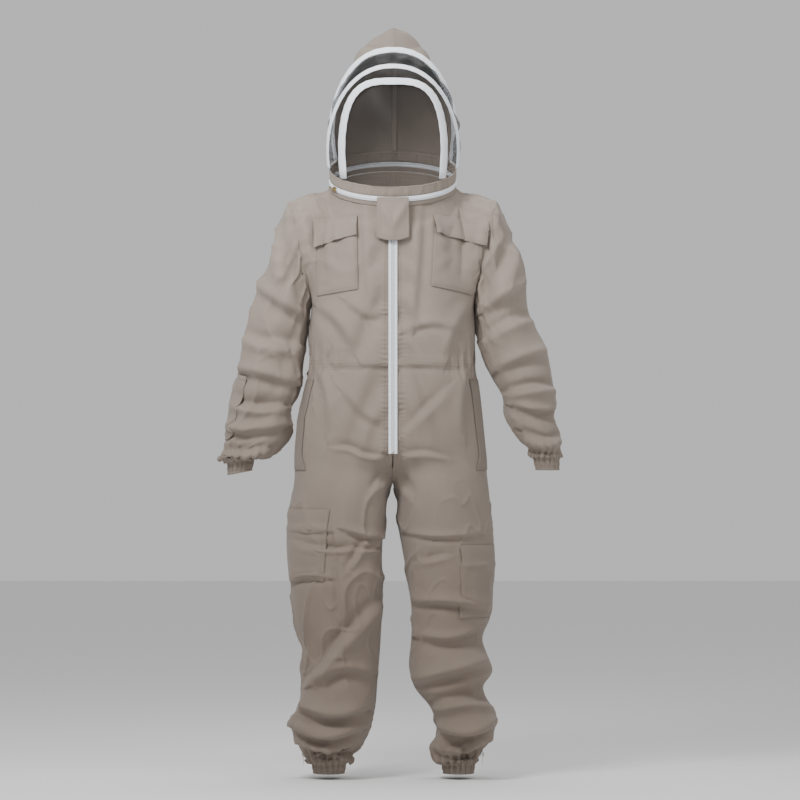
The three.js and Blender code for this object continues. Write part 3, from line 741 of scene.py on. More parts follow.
def sleeve(angle, t, hand):
    outer = Vector([along_list([p[k] for p in OUTER_ARM[hand]], t) for k in (0, 1)])
    inner = Vector([along_list([p[k] for p in INNER_ARM[hand]], t) for k in (0, 1)])
    across = (math.cos(angle) + 1) / 2
    flat = inner.lerp(outer, across)
    return Vector((hand * flat.x, along_list(ARM_DEPTH, t) * math.sin(angle), flat.y))


ARM_FOLDS = {
    1: folds(
        (20, 10, 285, -130, 270, -200, 225, -280), (18, -11, 330, -240, 270, -280, 215, -310),
        (16, 10, 340, -320, 280, -330, 220, -370), (16, -10, 375, -410, 310, -420, 250, -450),
        (13, 12, 395, -490, 340, -485, 275, -500), (12, -11, 395, -545, 340, -550, 285, -535),
        (12, 10, 410, -600, 360, -620, 310, -600),
    ),
    -1: folds(
        (20, -10, -275, -120, -260, -200, -225, -290), (18, 10, -330, -250, -280, -290, -210, -330),
        (17, -9, -365, -360, -300, -390, -220, -390), (16, 11, -385, -450, -320, -460, -235, -485),
        (13, -11, -395, -520, -330, -540, -260, -535), (13, 12, -410, -590, -340, -600, -260, -585),
        (11, -9, -410, -640, -350, -645, -300, -635),
    ),
}
SLEEVE_ROWS, SLEEVE_AROUND = 76, 60
ARMHOLE_X, ARMHOLE_Z = 0.2175, -0.158
ARM_WAY = Vector((0.984, 0, -0.175))
ARM_FOLD_GAIN = 1.25
sleeve_objects = {}
for hand, name in ((1, "left"), (-1, "right")):
    bm = bmesh.new()
    lay_out(bm, SLEEVE_AROUND, SLEEVE_ROWS,
            lambda u, v: sleeve(hand * (2 * u - 1) * math.pi, 1 - v, hand), 0, SLEEVE_SIZE)
    sew(bm, 1e-4)
    made = make_object(f"sleeve_{name}_cloth", bm, sleeve_finish)
    co = points_of(made)
    way = np.zeros(len(co))
    for i, p in enumerate(co):
        way[i] = Vector((abs(p[0]) - ARMHOLE_X, 0, p[2] - ARMHOLE_Z)).dot(ARM_WAY)
    normal = normals_of(made)
    co += normal * (0.006 * crumple(co, 9.0, 5.0 * hand) * smooth_step(way / 0.05))[:, None]
    set_points(made, co)
    held = np.full(len(co), 0.02)
    held[way < 0.004] = 1
    held[(np.hypot(np.abs(co[:, 0]) - 0.362, co[:, 1]) < 0.05) & (co[:, 2] < -0.652)] = 1
    drape(made, held, 0.10, 1.2, np.full(len(co), 0.016))
    refine(made)
    co = points_of(made)
    normal = normals_of(made)
    co = creases(co, normal, 0.0075, 10.0, 60.0 + 5 * hand)
    for points, width, height in ARM_FOLDS[hand]:
        co = fold_line(co, normal, points, width, height * ARM_FOLD_GAIN)
        back_points = [(px, pz + 0.03) for px, pz in points]
        co = fold_line(co, normal, back_points, width * 1.1, -height, front=False)
    jitter = crumple(co, 30.0, 4.0)
    round_arm = np.arctan2(co[:, 1], np.abs(co[:, 0]) - 0.36)
    near_cuff = smooth_step((-0.60 - co[:, 2]) / 0.06)
    co += normal * (0.0032 * np.sin(round_arm * 17 + 2 * jitter) * near_cuff)[:, None]
    # Sewn to the armhole: the head's edge goes to the bodice's, and the cloth beside it follows.
    head = rim_points(made)
    head = head[co[head, 2] > -0.32]
    gaps = np.linalg.norm(co[head][:, None] - armhole_rim[hand][None], axis=2)
    moves = armhole_rim[hand][gaps.argmin(axis=1)] - co[head]
    beside = np.nonzero(np.linalg.norm(co - np.array((hand * ARMHOLE_X, 0, ARMHOLE_Z)), axis=1) < 0.19)[0]
    reach = np.linalg.norm(co[beside][:, None] - co[head][None], axis=2)
    nearest = reach.argmin(axis=1)
    fade = 1 - smooth_step(reach.min(axis=1) / 0.03)
    co[beside] += moves[nearest] * fade[:, None]
    set_points(made, co)
    thicken(made)
    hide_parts(f"sleeve_{name}")
    sleeve_objects[name] = made


def follow_arm(made):
    """Puts the piece's own placement into its mesh points."""
    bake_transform(made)


for hand, name in ((1, "left"), (-1, "right")):
    follow_arm(sleeve_objects[name])

deps = bpy.context.evaluated_depsgraph_get()
sleeve_tree = {name: BVHTree.FromObject(made, deps) for name, made in sleeve_objects.items()}

# Wrist and ankle cuffs: the twill's own edge turned up over a band of elastic and sewn down,
# which draws the end of the sleeve or leg in to small sharp gathers.
cuff_finish = twill("twill_cuff", shade(CLOTH_COLOR, 0.94))
CUFF_FALL = 0.030
CUFF_FLAT = (0.30, 0.030)


def around_tube(name, place, around, rows, size, material, wall):
    bm = bmesh.new()
    lay_out(bm, around, rows, place, 0, size)
    sew(bm)
    made = make_object(name, bm, material)
    if wall:
        thicken(made, wall)
    return made


def gathered_cuff(name, end, fall, pleats, hand):
    """A cuff hung from the end of a tube of cloth, in sharp little pleats under its elastic."""
    middle = (end(0) + end(math.pi)) / 2

    def place(u, v):
        angle = hand * (2 * u - 1) * math.pi
        level = 1 - v
        size = lerp(1.0, 0.80, smooth_step(level * 1.6))
        if level < 0.25:
            size *= lerp(0.93, 1.0, level / 0.25)
        wave = math.sin(pleats * angle) + 0.6 * math.sin(2.3 * pleats * angle + 1.3)
        size *= 1 + 0.040 * wave * (0.35 + 0.65 * abs(math.sin(math.pi * (0.12 + 0.8 * level))))
        size *= 1 + 0.03 * math.sin(level * 4 * math.pi)
        return (end(angle) - middle) * size + middle + fall * (1.3 * level - 0.3)

    return around_tube(name, place, 240, 22, CUFF_FLAT, cuff_finish, 0.0022)


def ankle_end(angle, hand):
    outer, inner = HALF[hand](ANKLE_Z), INSIDE[hand](ANKLE_Z)
    return Vector((hand * ((outer + inner) / 2 + (outer - inner) / 2 * math.cos(angle)),
                   LEG_DEPTH(ANKLE_Z) * math.sin(angle), ANKLE_Z))


for hand, name in ((1, "left"), (-1, "right")):
    made = gathered_cuff(f"wrist_cuff_{name}_band", lambda a: sleeve(a, 1, hand),
                         Vector((hand * 0.003, 0, -CUFF_FALL)), 15, hand)
    fitted(made, f"wrist_cuff_{name}", "elastic", f"sleeve_{name}", flat=CUFF_FLAT, held="gathered")
    made = gathered_cuff(f"ankle_cuff_{name}_band", lambda a: ankle_end(a, hand),
                         Vector((0, 0, -CUFF_FALL * 0.92)), 18, hand)
    fitted(made, f"ankle_cuff_{name}", "elastic", "root", flat=CUFF_FLAT, held="gathered")

# Waist elastic: a wide woven band sewn inside the back at the waist seam, stretched while it
# is sewn, so that it gathers the cloth over it.
def waist_band(u, v):
    across = 1 - 2 * u
    p = trunk(0.94 * abs(across), WAIST_Z + 0.008 + v * 0.028, 1, 1)
    p.x *= 1 if across >= 0 else -1
    inward = Vector((-p.x, -p.y, 0)).normalized()
    return p + inward * (0.0062 + 0.0012 * math.sin(across * 90))


waist_mesh = bmesh.new()
lay_out(waist_mesh, 260, 8, waist_band, 0, (0.5, 0.028))
made = make_object("waist_elastic_band", waist_mesh, cuff_finish)
thicken(made, 0.0016)
fitted(made, "waist_elastic", "elastic", "root", flat=(0.48, 0.028), held="stretched")


# Chest pockets: patches of twill with turned edges and two rows of stitches, sewn flat on the
# bodice, each under a flap that is sewn along its top edge only and curls at the foot.
def stuck_patch(name, place, cells, size, material, lift, tree, wall=0.0010, shape=None):
    """A piece of cloth that lies on another: each point goes to the nearest cloth, then out."""
    bm = bmesh.new()
    verts = lay_out(bm, *cells, place, 0, size)
    layout = bm.loops.layers.uv.verify()
    flat = {}
    for face in bm.faces:
        for loop in face.loops:
            flat[loop.vert] = (loop[layout].uv.x / size[0], loop[layout].uv.y / size[1])
    for vert in verts:
        spot, out, _, _ = tree.find_nearest(vert.co)
        u, v = flat[vert]
        edge = min(u, 1 - u, v, 1 - v)
        height = lift(u, v, edge)
        vert.co = spot + out * height
        if shape:
            vert.co = shape(u, v, vert.co)
    for _ in range(2):
        bmesh.ops.smooth_vert(bm, verts=verts, factor=0.5, use_axis_x=True, use_axis_y=True,
                              use_axis_z=True)
    made = make_object(name, bm, material)
    step = made.modifiers.new("fair", "SUBSURF")
    step.levels = step.render_levels = 1
    bake(made)
    if sum(p.normal.dot(tree.find_nearest(p.center)[1]) for p in made.data.polygons) < 0:
        made.data.flip_normals()
    thicken(made, wall)
    return made


def from_front(corners):
    """Points on the suit's front, inside four corners given as (x, z): lower two, upper two."""
    def place(u, v):
        low = Vector(corners[0]).lerp(Vector(corners[1]), u)
        high = Vector(corners[2]).lerp(Vector(corners[3]), u)
        spot = low.lerp(high, v)
        hit = suit_tree.ray_cast(Vector((spot.x, -0.4, spot.y)), Vector((0, 1, 0)))[0]
        return hit or Vector((spot.x, -0.1, spot.y))
    return place


CHEST_BAGS = {
    -1: ((-0.180, -0.276), (-0.081, -0.260), (-0.180, -0.120), (-0.083, -0.110)),
    1: ((0.088, -0.252), (0.206, -0.276), (0.096, -0.108), (0.214, -0.124)),
}
CHEST_FLAPS = {
    -1: ((-0.191, -0.163), (-0.084, -0.132), (-0.191, -0.092), (-0.081, -0.084)),
    1: ((0.096, -0.129), (0.226, -0.158), (0.094, -0.082), (0.224, -0.100)),
}
BAG_SIZE = (0.125, 0.165)
FLAP_SIZE = (0.125, 0.065)
bag_finish = twill("twill_pocket", shade(CLOTH_COLOR, 0.97), BAG_SIZE, (0.002, 0.0085))
chest_flap_finish = twill("twill_flap", CLOTH_COLOR, FLAP_SIZE, (0.003, 0.0085))
for hand, name in ((1, "left"), (-1, "right")):
    def bag_lift(u, v, edge):
        wrinkle = perlin(Vector((u * 5, v * 6, 3.0 * hand)))
        return 0.0021 + min(edge * 12, 1) * (0.0022 + 0.0024 * wrinkle * min(edge * 6, 1))

    made = stuck_patch(f"chest_pocket_{name}_bag", from_front(CHEST_BAGS[hand]), (34, 44), BAG_SIZE,
                       bag_finish, bag_lift, suit_tree)
    fitted(made, f"chest_pocket_{name}", "cloth", "root",
           flat=BAG_SIZE, held="hung", rests_on=["front_bodice_" + name + "_cloth"])

    def flap_lift(u, v, edge):
        hang = 1 - v
        wave = math.sin(2 * math.pi * (2.3 * u + 0.15 * hand)) + 0.5 * math.sin(2 * math.pi * 4.1 * u)
        return 0.0035 + 0.0075 * hang ** 0.7 + 0.0042 * wave * hang ** 1.3

    made = stuck_patch(f"pocket_flap_{name}_cloth", from_front(CHEST_FLAPS[hand]), (44, 26), FLAP_SIZE,
                       chest_flap_finish, flap_lift, suit_tree, wall=0.0016)
    fitted(made, f"pocket_flap_{name}", "cloth", f"pocket_flap_{name}", flat=FLAP_SIZE, held="hung")

# Thigh pockets: patches with a turned top edge, stitched to the front of each leg. The welts
# over the side openings are folded strips of a greyer cloth.
THIGH_SIZE = (0.135, 0.165)
WELT_SIZE = (0.058, 0.22)
thigh_finish = twill("twill_thigh", CLOTH_COLOR, THIGH_SIZE, (0.003, 0.010))
side_finish = twill("twill_side", shade(CLOTH_COLOR, 0.84), WELT_SIZE, (0.003, 0.009))
for hand, name in ((1, "left"), (-1, "right")):
    thigh_low, thigh_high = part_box(f"thigh_pocket_{name}")

    def thigh_place(u, v):
        z = lerp(thigh_low.z, thigh_high.z, v) + (0.085 if hand < 0 else 0)
        return leg(lerp(0.56, 1.0, u), z, -1, hand)

    def thigh_lift(u, v, edge):
        wrinkle = perlin(Vector((u * 4, v * 5, 7.0 + hand)))
        top = math.exp(-((v - 0.72) / 0.03) ** 2)
        return 0.0021 + min(edge * 12, 1) * (0.0022 + 0.003 * wrinkle * min(edge * 6, 1) + 0.003 * top)

    made = stuck_patch(f"thigh_pocket_{name}_bag", thigh_place, (32, 44), THIGH_SIZE, thigh_finish,
                       thigh_lift, suit_tree)
    fitted(made, f"thigh_pocket_{name}", "cloth", "root", flat=THIGH_SIZE, held="hung")
    welt_low, welt_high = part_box(f"side_pocket_welt_{name}")

    def welt_place(u, v):
        z = lerp(welt_low.z, welt_high.z, v)
        return trouser(lerp(0.76, 0.99, u), (z - ANKLE_Z) / (WAIST_Z - ANKLE_Z), -1, hand)

    made = stuck_patch(f"side_pocket_welt_{name}_strip", welt_place, (20, 50), WELT_SIZE, side_finish,
                       lambda u, v, edge: 0.0021 + 0.0012 * min(edge * 12, 1), suit_tree)
    fitted(made, f"side_pocket_welt_{name}", "cloth", "root", flat=WELT_SIZE, held="hung")

# Sleeve pocket: a plain patch of twill, stitched round three sides to the outside of the
# wearer's right sleeve above the cuff.
SLEEVE_POCKET_SIZE = (0.115, 0.150)
arm_finish = twill("twill_arm_pocket", CLOTH_COLOR, SLEEVE_POCKET_SIZE, (0.003, 0.009))


def arm_pocket_place(u, v):
    return sleeve(lerp(-0.95, 0.55, u), lerp(0.76, 0.50, v), -1)


made = stuck_patch("sleeve_pocket_right_bag", arm_pocket_place, (30, 40), SLEEVE_POCKET_SIZE, arm_finish,
                   lambda u, v, edge: 0.0021 + 0.0022 * min(edge * 12, 1), sleeve_tree["right"])
fitted(made, "sleeve_pocket_right", "cloth", "sleeve_right", flat=SLEEVE_POCKET_SIZE, held="hung")

# Front zip: white woven polyester tapes sewn to the two front edges, moulded resin teeth,
# nickel stops crimped on at the ends, and a brass slider with a long pull.
def webbing(name, color, roughness=0.8):
    made = Finish(name, color, roughness, sheen=0.1)
    solid = made.node("ShaderNodeTexCoord", "Object")
    up = made.node("ShaderNodeSeparateXYZ", 2, Vector=solid)
    rib = (up * (2 * math.pi / 0.0013)).sine()
    fuzz = made.node("ShaderNodeTexNoise", "Fac", Vector=solid, Scale=60.0, Detail=3.0)
    made.feed("Base Color", made.mix(fuzz, shade(color, 0.93), color))
    made.bump(rib + fuzz * 0.6, 0.4, 0.0003)
    return made.material


def metal(name, color, roughness):
    made = Finish(name, color, roughness, metallic=1.0)
    solid = made.node("ShaderNodeTexCoord", "Object")
    smear = made.node("ShaderNodeTexNoise", "Fac", Vector=solid, Scale=140.0, Detail=4.0)
    made.feed("Roughness", roughness - 0.08 + smear * 0.2)
    return made.material


WHITE = (0.90, 0.94, 1.0)
tape_finish = webbing("white_webbing", WHITE)
teeth_finish = Finish("zip_resin", WHITE, 0.35).material
brass_finish = metal("aged_brass", (0.52, 0.40, 0.20), 0.36)
nickel_finish = metal("nickel", (0.62, 0.61, 0.58), 0.30)


def rounded_block(bm, size, place, turn=None, radius=0.0006):
    """A block with rounded edges, turned and put in its place."""
    made = bmesh.ops.create_cube(bm, size=1)
    bmesh.ops.scale(bm, verts=made["verts"], vec=size)
    edges = list({e for v in made["verts"] for e in v.link_edges})
    radius = min(radius, 0.45 * min(size))
    cut = bmesh.ops.bevel(bm, geom=edges, offset=radius, segments=2, profile=0.5, affect="EDGES",
                          material=-1)
    verts = list({v for f in cut["faces"] for v in f.verts} | {v for v in made["verts"] if v.is_valid})
    if turn:
        bmesh.ops.transform(bm, verts=verts, matrix=turn.to_4x4())
    bmesh.ops.translate(bm, verts=verts, vec=place)
    return verts


def zip_slider(bm, middle, turn, size):
    """A slider: two plates on a post, with a bridge for the pull. Size is across, out and along."""
    for out in (-0.32, 0.32):
        rounded_block(bm, (size[0], size[1] * 0.26, size[2]), middle + turn @ Vector((0, out * size[1], 0)),
                      turn, 0.0011)
    rounded_block(bm, (size[0] * 0.3, size[1] * 0.5, size[2] * 0.5), middle, turn)
    rounded_block(bm, (size[0] * 0.3, size[1] * 0.3, size[2] * 0.66),
                  middle + turn @ Vector((0, -size[1] * 0.42, 0)), turn, 0.0009)


def zip_pull(bm, top, turn, size):
    """A pull: a tapering plate with a slot, hung from its top end. Size is across, out and along."""
    rings = []
    for share in (1.0, 0.52):
        ring = []
        for i in range(28):
            a = 2 * math.pi * i / 28
            along = math.copysign(abs(math.sin(a)) ** 0.55, math.sin(a))
            across = math.copysign(abs(math.cos(a)) ** 0.55, math.cos(a))
            taper = 0.8 - 0.2 * along
            ring.append((across * taper * size[0] / 2 * share,
                         -size[2] / 2 + along * (size[2] / 2 * (1 if share == 1 else 0.58))))
        rings.append(ring)
    layers = []
    for out in (-size[1] / 2, size[1] / 2):
        layers.append([[bm.verts.new(top + turn @ Vector((x, out, z))) for x, z in ring] for ring in rings])
    for i in range(28):
        j = (i + 1) % 28
        for near in (0, 1):
            bm.faces.new([layers[near][0][i], layers[near][0][j], layers[near][1][j], layers[near][1][i]])
        for ring in (0, 1):
            bm.faces.new([layers[0][ring][i], layers[0][ring][j], layers[1][ring][j], layers[1][ring][i]])
    bmesh.ops.recalc_face_normals(bm, faces=bm.faces)


def plain_piece(name, bm, material, node, slot, body):
    for face in bm.faces:
        face.smooth = len(face.verts) < 20
    made = make_object(name, bm, material)
    step = made.modifiers.new("edges", "EDGE_SPLIT")
    step.split_angle = math.radians(40)
    bake(made)
    return fitted(made, node, slot, body)


LEVEL = Matrix.Identity(3)
zip_low, zip_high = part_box("front_zip_teeth")
ZIP_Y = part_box("front_zip_tape_left")[1].y
for hand, name in ((1, "left"), (-1, "right")):
    low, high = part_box(f"front_zip_tape_{name}")

    def zip_tape(u, v):
        z = lerp(low.z, high.z, v)
        pucker = 0.0007 * math.sin(2 * math.pi * z / 0.0125) * (u if hand > 0 else 1 - u)
        return Vector((lerp(low.x, high.x, u), ZIP_Y - 0.0009 - pucker, z))

    bm = bmesh.new()
    lay_out(bm, 6, 420, zip_tape, 0, (0.007, 0.573))
    made = make_object(f"front_zip_tape_{name}_weave", bm, tape_finish)
    thicken(made, 0.0009, 0)
    fitted(made, f"front_zip_tape_{name}", "white_tape", "root")

TOOTH_PITCH = 0.0026
bm = bmesh.new()
for i in range(int((zip_high.z - zip_low.z) / TOOTH_PITCH)):
    side = 1 if i % 2 else -1
    made = bmesh.ops.create_cube(bm, size=1)
    bmesh.ops.scale(bm, verts=made["verts"], vec=(0.0048, 0.0022, TOOTH_PITCH * 0.8))
    bmesh.ops.translate(bm, verts=made["verts"], vec=(side * 0.0009, ZIP_Y - 0.0013,
                                                      zip_low.z + (i + 0.5) * TOOTH_PITCH))
plain_piece("front_zip_teeth_row", bm, teeth_finish, "front_zip_teeth", "white_tape", "root")
for end in ("top", "bottom"):
    low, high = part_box(f"front_zip_{end}_stop")
    bm = bmesh.new()
    rounded_block(bm, high - low, (low + high) / 2, LEVEL)
    plain_piece(f"front_zip_{end}_stop_clip", bm, nickel_finish, f"front_zip_{end}_stop", "nickel", "root")
low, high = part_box("front_zip_slider")
bm = bmesh.new()
zip_slider(bm, (low + high) / 2, LEVEL, high - low)
plain_piece("front_zip_slider_body", bm, brass_finish, "front_zip_slider", "brass", "front_zip_slider")
low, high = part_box("front_zip_pull")
bm = bmesh.new()
zip_pull(bm, Vector((0, (low.y + high.y) / 2, high.z)), LEVEL, high - low)
plain_piece("front_zip_pull_tab", bm, brass_finish, "front_zip_pull", "brass", "front_zip_slider")

# Neck flap: a square of two layers of twill sewn in under the neck zip. It covers the top of
# the front zip, and is creased where it has been folded back.
low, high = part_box("neck_flap")
NECK_FLAP_SIZE = (0.078, 0.096)
neck_flap_finish = twill("twill_neck_flap", CLOTH_COLOR, NECK_FLAP_SIZE, (0.003, 0.009))


def neck_flap(u, v):
    side = 2 * u - 1
    bow = 0.009 * (1 - side * side) * (1 - v) - 0.005
    x = side * lerp(0.0385, 0.0375, v)
    z = lerp(low.z + 0.002, high.z, v) - bow
    crease = math.exp(-((abs(side) - (1 - (1 - v) * 1.5)) / 0.34) ** 2) * math.sin(math.pi * v)
    wave = 0.0016 * math.sin(2.6 * side + 1.0) + 0.0010 * perlin(Vector((u * 4, v * 4, 2.0)))
    belly = 0.003 * math.sin(math.pi * v) * (1 - side ** 2)
    return Vector((x, high.y - 0.0012 - 0.0060 * crease - wave - belly, z))


bm = bmesh.new()
lay_out(bm, 44, 54, neck_flap, 0, NECK_FLAP_SIZE)
made = make_object("neck_flap_cloth", bm, neck_flap_finish)
thicken(made, 0.0016)
fitted(made, "neck_flap", "cloth", "neck_flap", flat=NECK_FLAP_SIZE, held="hung")

# Neck ring: a folded collar band sewn to the bodice, a white zip in two halves that runs all
# round it, and the veil's cloth hem sewn to the upper half.
TAPE_WIDTH = 0.006
TAPE_GAP = 0.0003
RING_LENGTH = 2 * math.pi * NECK_RADIUS
HEM_FOOT = TAPE_WIDTH + TAPE_GAP
HEM_TOP = HEM_FOOT + 0.024


def ring_band(name, low, high, wall, material, wave, node, slot, body, rows=6, radius=NECK_RADIUS):
    def place(u, v):
        angle = (2 * u - 1) * math.pi
        ripple = wave * (math.sin(31 * angle) + 0.7 * math.sin(53 * angle + 2)
                         + 1.6 * perlin(Vector((4 * math.cos(angle), 4 * math.sin(angle), 30 * high))))
        reach = NECK_RADIUS + (radius - NECK_RADIUS) * (1 + math.cos(angle)) / 2
        return ring_point(angle, lerp(low, high, v), reach + ripple * math.sin(math.pi * (0.15 + 0.7 * v)))

    made = around_tube(name, place, 420, rows, (RING_LENGTH, high - low), material, wall)
    fitted(made, node, slot, body)
    return made


hem_finish = twill("twill_hem", CLOTH_COLOR, (RING_LENGTH, 0.024), (0.003, 0.0205))
ring_band("collar_band_cloth", -NECK_DROP + 0.0012, -HEM_FOOT, 0.0022, cloth_finish, 0.0003, "collar_band",
          "cloth", "root")
ring_band("neck_zip_tape_suit_weave", -TAPE_WIDTH, -TAPE_GAP, 0.0012, tape_finish, 0.0002,
          "neck_zip_tape_suit", "white_tape", "root", 3, NECK_RADIUS + 0.0014)
ring_band("neck_zip_tape_hood_weave", TAPE_GAP, TAPE_WIDTH, 0.0012, tape_finish, 0.0002,
          "neck_zip_tape_hood", "white_tape", "hood", 3, NECK_RADIUS + 0.0014)
ring_band("veil_hem_cloth", HEM_FOOT, HEM_TOP, 0.0022, hem_finish, 0.0007, "veil_hem", "cloth", "hood", 12)
NECK_TEETH = 330
for body, level, name in (("root", -0.0008, "lower"), ("hood", 0.0008, "upper")):
    bm = bmesh.new()
    for i in range(NECK_TEETH):
        angle = 2 * math.pi * (i + (0.5 if level > 0 else 0)) / NECK_TEETH
        made = bmesh.ops.create_cube(bm, size=1)
        bmesh.ops.scale(bm, verts=made["verts"], vec=(0.0017, 0.0016, 0.0022))
        turn = Matrix.Rotation(NECK_TILT, 4, "X") @ Matrix.Rotation(angle, 4, "Z")
        at = ring_point(angle, level, NECK_RADIUS + 0.0018 * (1 + math.cos(angle)) / 2)
        bmesh.ops.transform(bm, verts=made["verts"], matrix=Matrix.Translation(at) @ turn)
    made = make_object(f"neck_zip_teeth_{name}", bm, teeth_finish)
    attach(made, body)
NECK_SLIDER_ANGLE = math.radians(-64)
SLIDER_SIZE = (0.011, 0.0045, 0.014)
PULL_SIZE = (0.006, 0.0016, 0.026)
ring_turn = Matrix.Rotation(NECK_TILT, 3, "X") @ Matrix.Rotation(NECK_SLIDER_ANGLE, 3, "Z")
sideways = ring_turn @ Matrix.Rotation(math.radians(90), 3, "Y")
slider_at = ring_turn @ Vector((0, -NECK_RADIUS - 0.0006 - SLIDER_SIZE[1] / 2, 0))
bm = bmesh.new()
zip_slider(bm, slider_at, sideways, SLIDER_SIZE)
plain_piece("neck_zip_slider_body", bm, brass_finish, "neck_zip_slider", "brass", "neck_zip_slider")
bm = bmesh.new()
pull_top = ring_turn @ Vector((0.002, -NECK_RADIUS - 0.0009 - SLIDER_SIZE[1] - PULL_SIZE[1] / 2, 0))
zip_pull(bm, pull_top, sideways, PULL_SIZE)
plain_piece("neck_zip_pull_tab", bm, brass_finish, "neck_zip_pull", "brass", "neck_zip_pull")

# Hood hoops: spring steel wire in casings of white padded webbing, which are sewn to the nets
# and the crown. Each runs from a foot on the hem over the head to the other side.
HOOP_TAPE = 0.023
HOOP_WALL = 0.005
VEIL_FOOT = HEM_TOP + 0.006
HOOD_MIDDLE = Vector((0, 0.010, 0.060))
INNER_FOOT, MIDDLE_FOOT, OUTER_FOOT = (math.radians(a) for a in (50, 86, 114))


def hoop(foot_angle, spread_x, squareness, top):
    foot = ring_point(foot_angle, VEIL_FOOT)

    def arch(s):
        angle = (0.5 - s) * math.pi
        up = max(math.cos(angle), 0) ** (2 / squareness)
        out = abs(math.sin(angle)) ** (2 / squareness)
        wide = lerp(foot.x, spread_x, math.sin(min(1, up * 2.2) * math.pi / 2))
        side = -1 if angle > 0 else 1
        return Vector((side * wide * out, lerp(foot.y, top[0], up), lerp(foot.z, top[1], up)))

    return arch


HOOPS = {
    "inner": hoop(INNER_FOOT, NECK_RADIUS * 0.8, 3.3, (-0.165, 0.225)),
    "middle": hoop(MIDDLE_FOOT, NECK_RADIUS * 1.045, 2.2, (-0.108, 0.264)),
    "outer": hoop(OUTER_FOOT, NECK_RADIUS, 2.3, (-0.040, 0.307)),
}


def hoop_frame(arch, s, middle):
    along = (arch(min(s + 1e-3, 1)) - arch(max(s - 1e-3, 0))).normalized()
    out = (arch(s) - middle).normalized()
    across = out.cross(along).normalized()
    return across, along.cross(across)


casing_finish = webbing("white_casing", WHITE)
wire_finish = metal("spring_wire", (0.45, 0.45, 0.46), 0.35)
STATIONS = 170
REAR_MIDDLE = Vector((0, 0.150, 0.100))
for number, (name, arch) in enumerate(HOOPS.items()):
    facing = REAR_MIDDLE if name == "outer" else HOOD_MIDDLE
    bm = bmesh.new()
    rings = []
    for i in range(STATIONS + 1):
        s = i / STATIONS
        across, out = hoop_frame(arch, s, facing)
        bunch = 1 + 0.16 * perlin(Vector((s * 42, number * 5.0, 0))) + 0.05 * math.sin(s * 260)
        ring = []
        for k in range(14):
            a = 2 * math.pi * k / 14
            wide = math.cos(a) * HOOP_TAPE / 2 * (1 + 0.04 * math.sin(s * 130 + number))
            deep = math.sin(a) * (0.35 + 0.65 * abs(math.sin(a))) * HOOP_WALL * 0.56 * bunch
            ring.append(bm.verts.new(arch(s) + across * wide + out * (HOOP_WALL / 2 + deep)))
        rings.append(ring)
    for a, b in zip(rings, rings[1:]):
        for k in range(14):
            bm.faces.new([a[k], a[(k + 1) % 14], b[(k + 1) % 14], b[k]])
    bm.faces.new(rings[0])
    bm.faces.new(rings[-1])
    bmesh.ops.recalc_face_normals(bm, faces=bm.faces)
    for face in bm.faces:
        face.smooth = True
    made = make_object(f"hoop_{name}_casing", bm, casing_finish)
    length = sum((arch(i / 60) - arch((i + 1) / 60)).length for i in range(60))
    fitted(made, f"hoop_{name}_tape", "white_tape", "hood", flat=(0.025, length), held="stretched")
    curve = bpy.data.curves.new(f"hoop_{name}_wire_line", "CURVE")
    curve.dimensions = "3D"
    curve.bevel_depth = 0.0012
    curve.bevel_resolution = 3
    line = curve.splines.new("POLY")
    line.points.add(60)
    for i in range(61):
        across, out = hoop_frame(arch, i / 60, facing)
        line.points[i].co = (*(arch(i / 60) + out * HOOP_WALL / 2), 1)
    curve.use_fill_caps = True
    made = bpy.data.objects.new(f"hoop_{name}_spring", curve)
    bpy.context.collection.objects.link(made)
    wire_data = bpy.data.meshes.new_from_object(made)
    bpy.data.objects.remove(made)
    made = bpy.data.objects.new(f"hoop_{name}_spring", wire_data)
    bpy.context.collection.objects.link(made)
    made.data.materials.clear()
    made.data.materials.append(wire_finish)
    fitted(made, f"hoop_{name}_wire", "wire", "hood")


# Veil: black knitted polyester net, sewn to the hoops' casings and the hem: a plain fine one in
# front and at the sides, and a denser gathered one in two layers over the top.
def netting(name, pitch, thread, color=(0.012, 0.012, 0.013)):
    made = Finish(name, color, 0.55)
    layout = made.node("ShaderNodeUVMap")
    across = made.node("ShaderNodeSeparateXYZ", 0, Vector=layout)
    along = made.node("ShaderNodeSeparateXYZ", 1, Vector=layout)
    rows = [(line * (2 * math.pi / pitch)).sine().above(math.cos(math.pi * thread / pitch))
            for line in (across, along)]
    made.feed("Alpha", rows[0].highest(rows[1]))
    return made.material


fine_net = netting("black_net", 0.0021, 0.00028, (0.030, 0.029, 0.028))
dense_net = netting("black_net_gathered", 0.0016, 0.00048)
NET_MARGIN = HOOP_TAPE / 2 - 0.002


def net_between(rear, fore, bulge):
    def place(u, v):
        start, end = rear(v), fore(v)
        margin = NET_MARGIN / (start - end).length
        out = (start.lerp(end, 0.5) - HOOD_MIDDLE).normalized()
        lift = bulge * math.sin(math.pi * u) + HOOP_WALL * 0.3
        return start.lerp(end, lerp(margin, 1 - margin, u)) + out * lift
    return place


def crumpled_net(name, place, cells, size, material, depth, scale, seed):
    bm = bmesh.new()
    verts = lay_out(bm, *cells, place, 0, size)
    made = make_object(name, bm, material)
    co = points_of(made)
    out = co - np.array(HOOD_MIDDLE)
    out /= np.linalg.norm(out, axis=1, keepdims=True)
    grain = crumple(co, scale, seed)
    sharp = 1 - np.abs(crumple(co, scale * 0.6, seed + 7)) * 3
    layout = made.data.uv_layers[0].data
    free = np.zeros(len(co))
    for loop in made.data.loops:
        u, v = layout[loop.index].uv
        edge = min(u / size[0], 1 - u / size[0]) * 5
        free[loop.vertex_index] = min(edge, 1)
    co += out * (free * depth * (grain + 0.5 * sharp))[:, None]
    set_points(made, co)
    return made


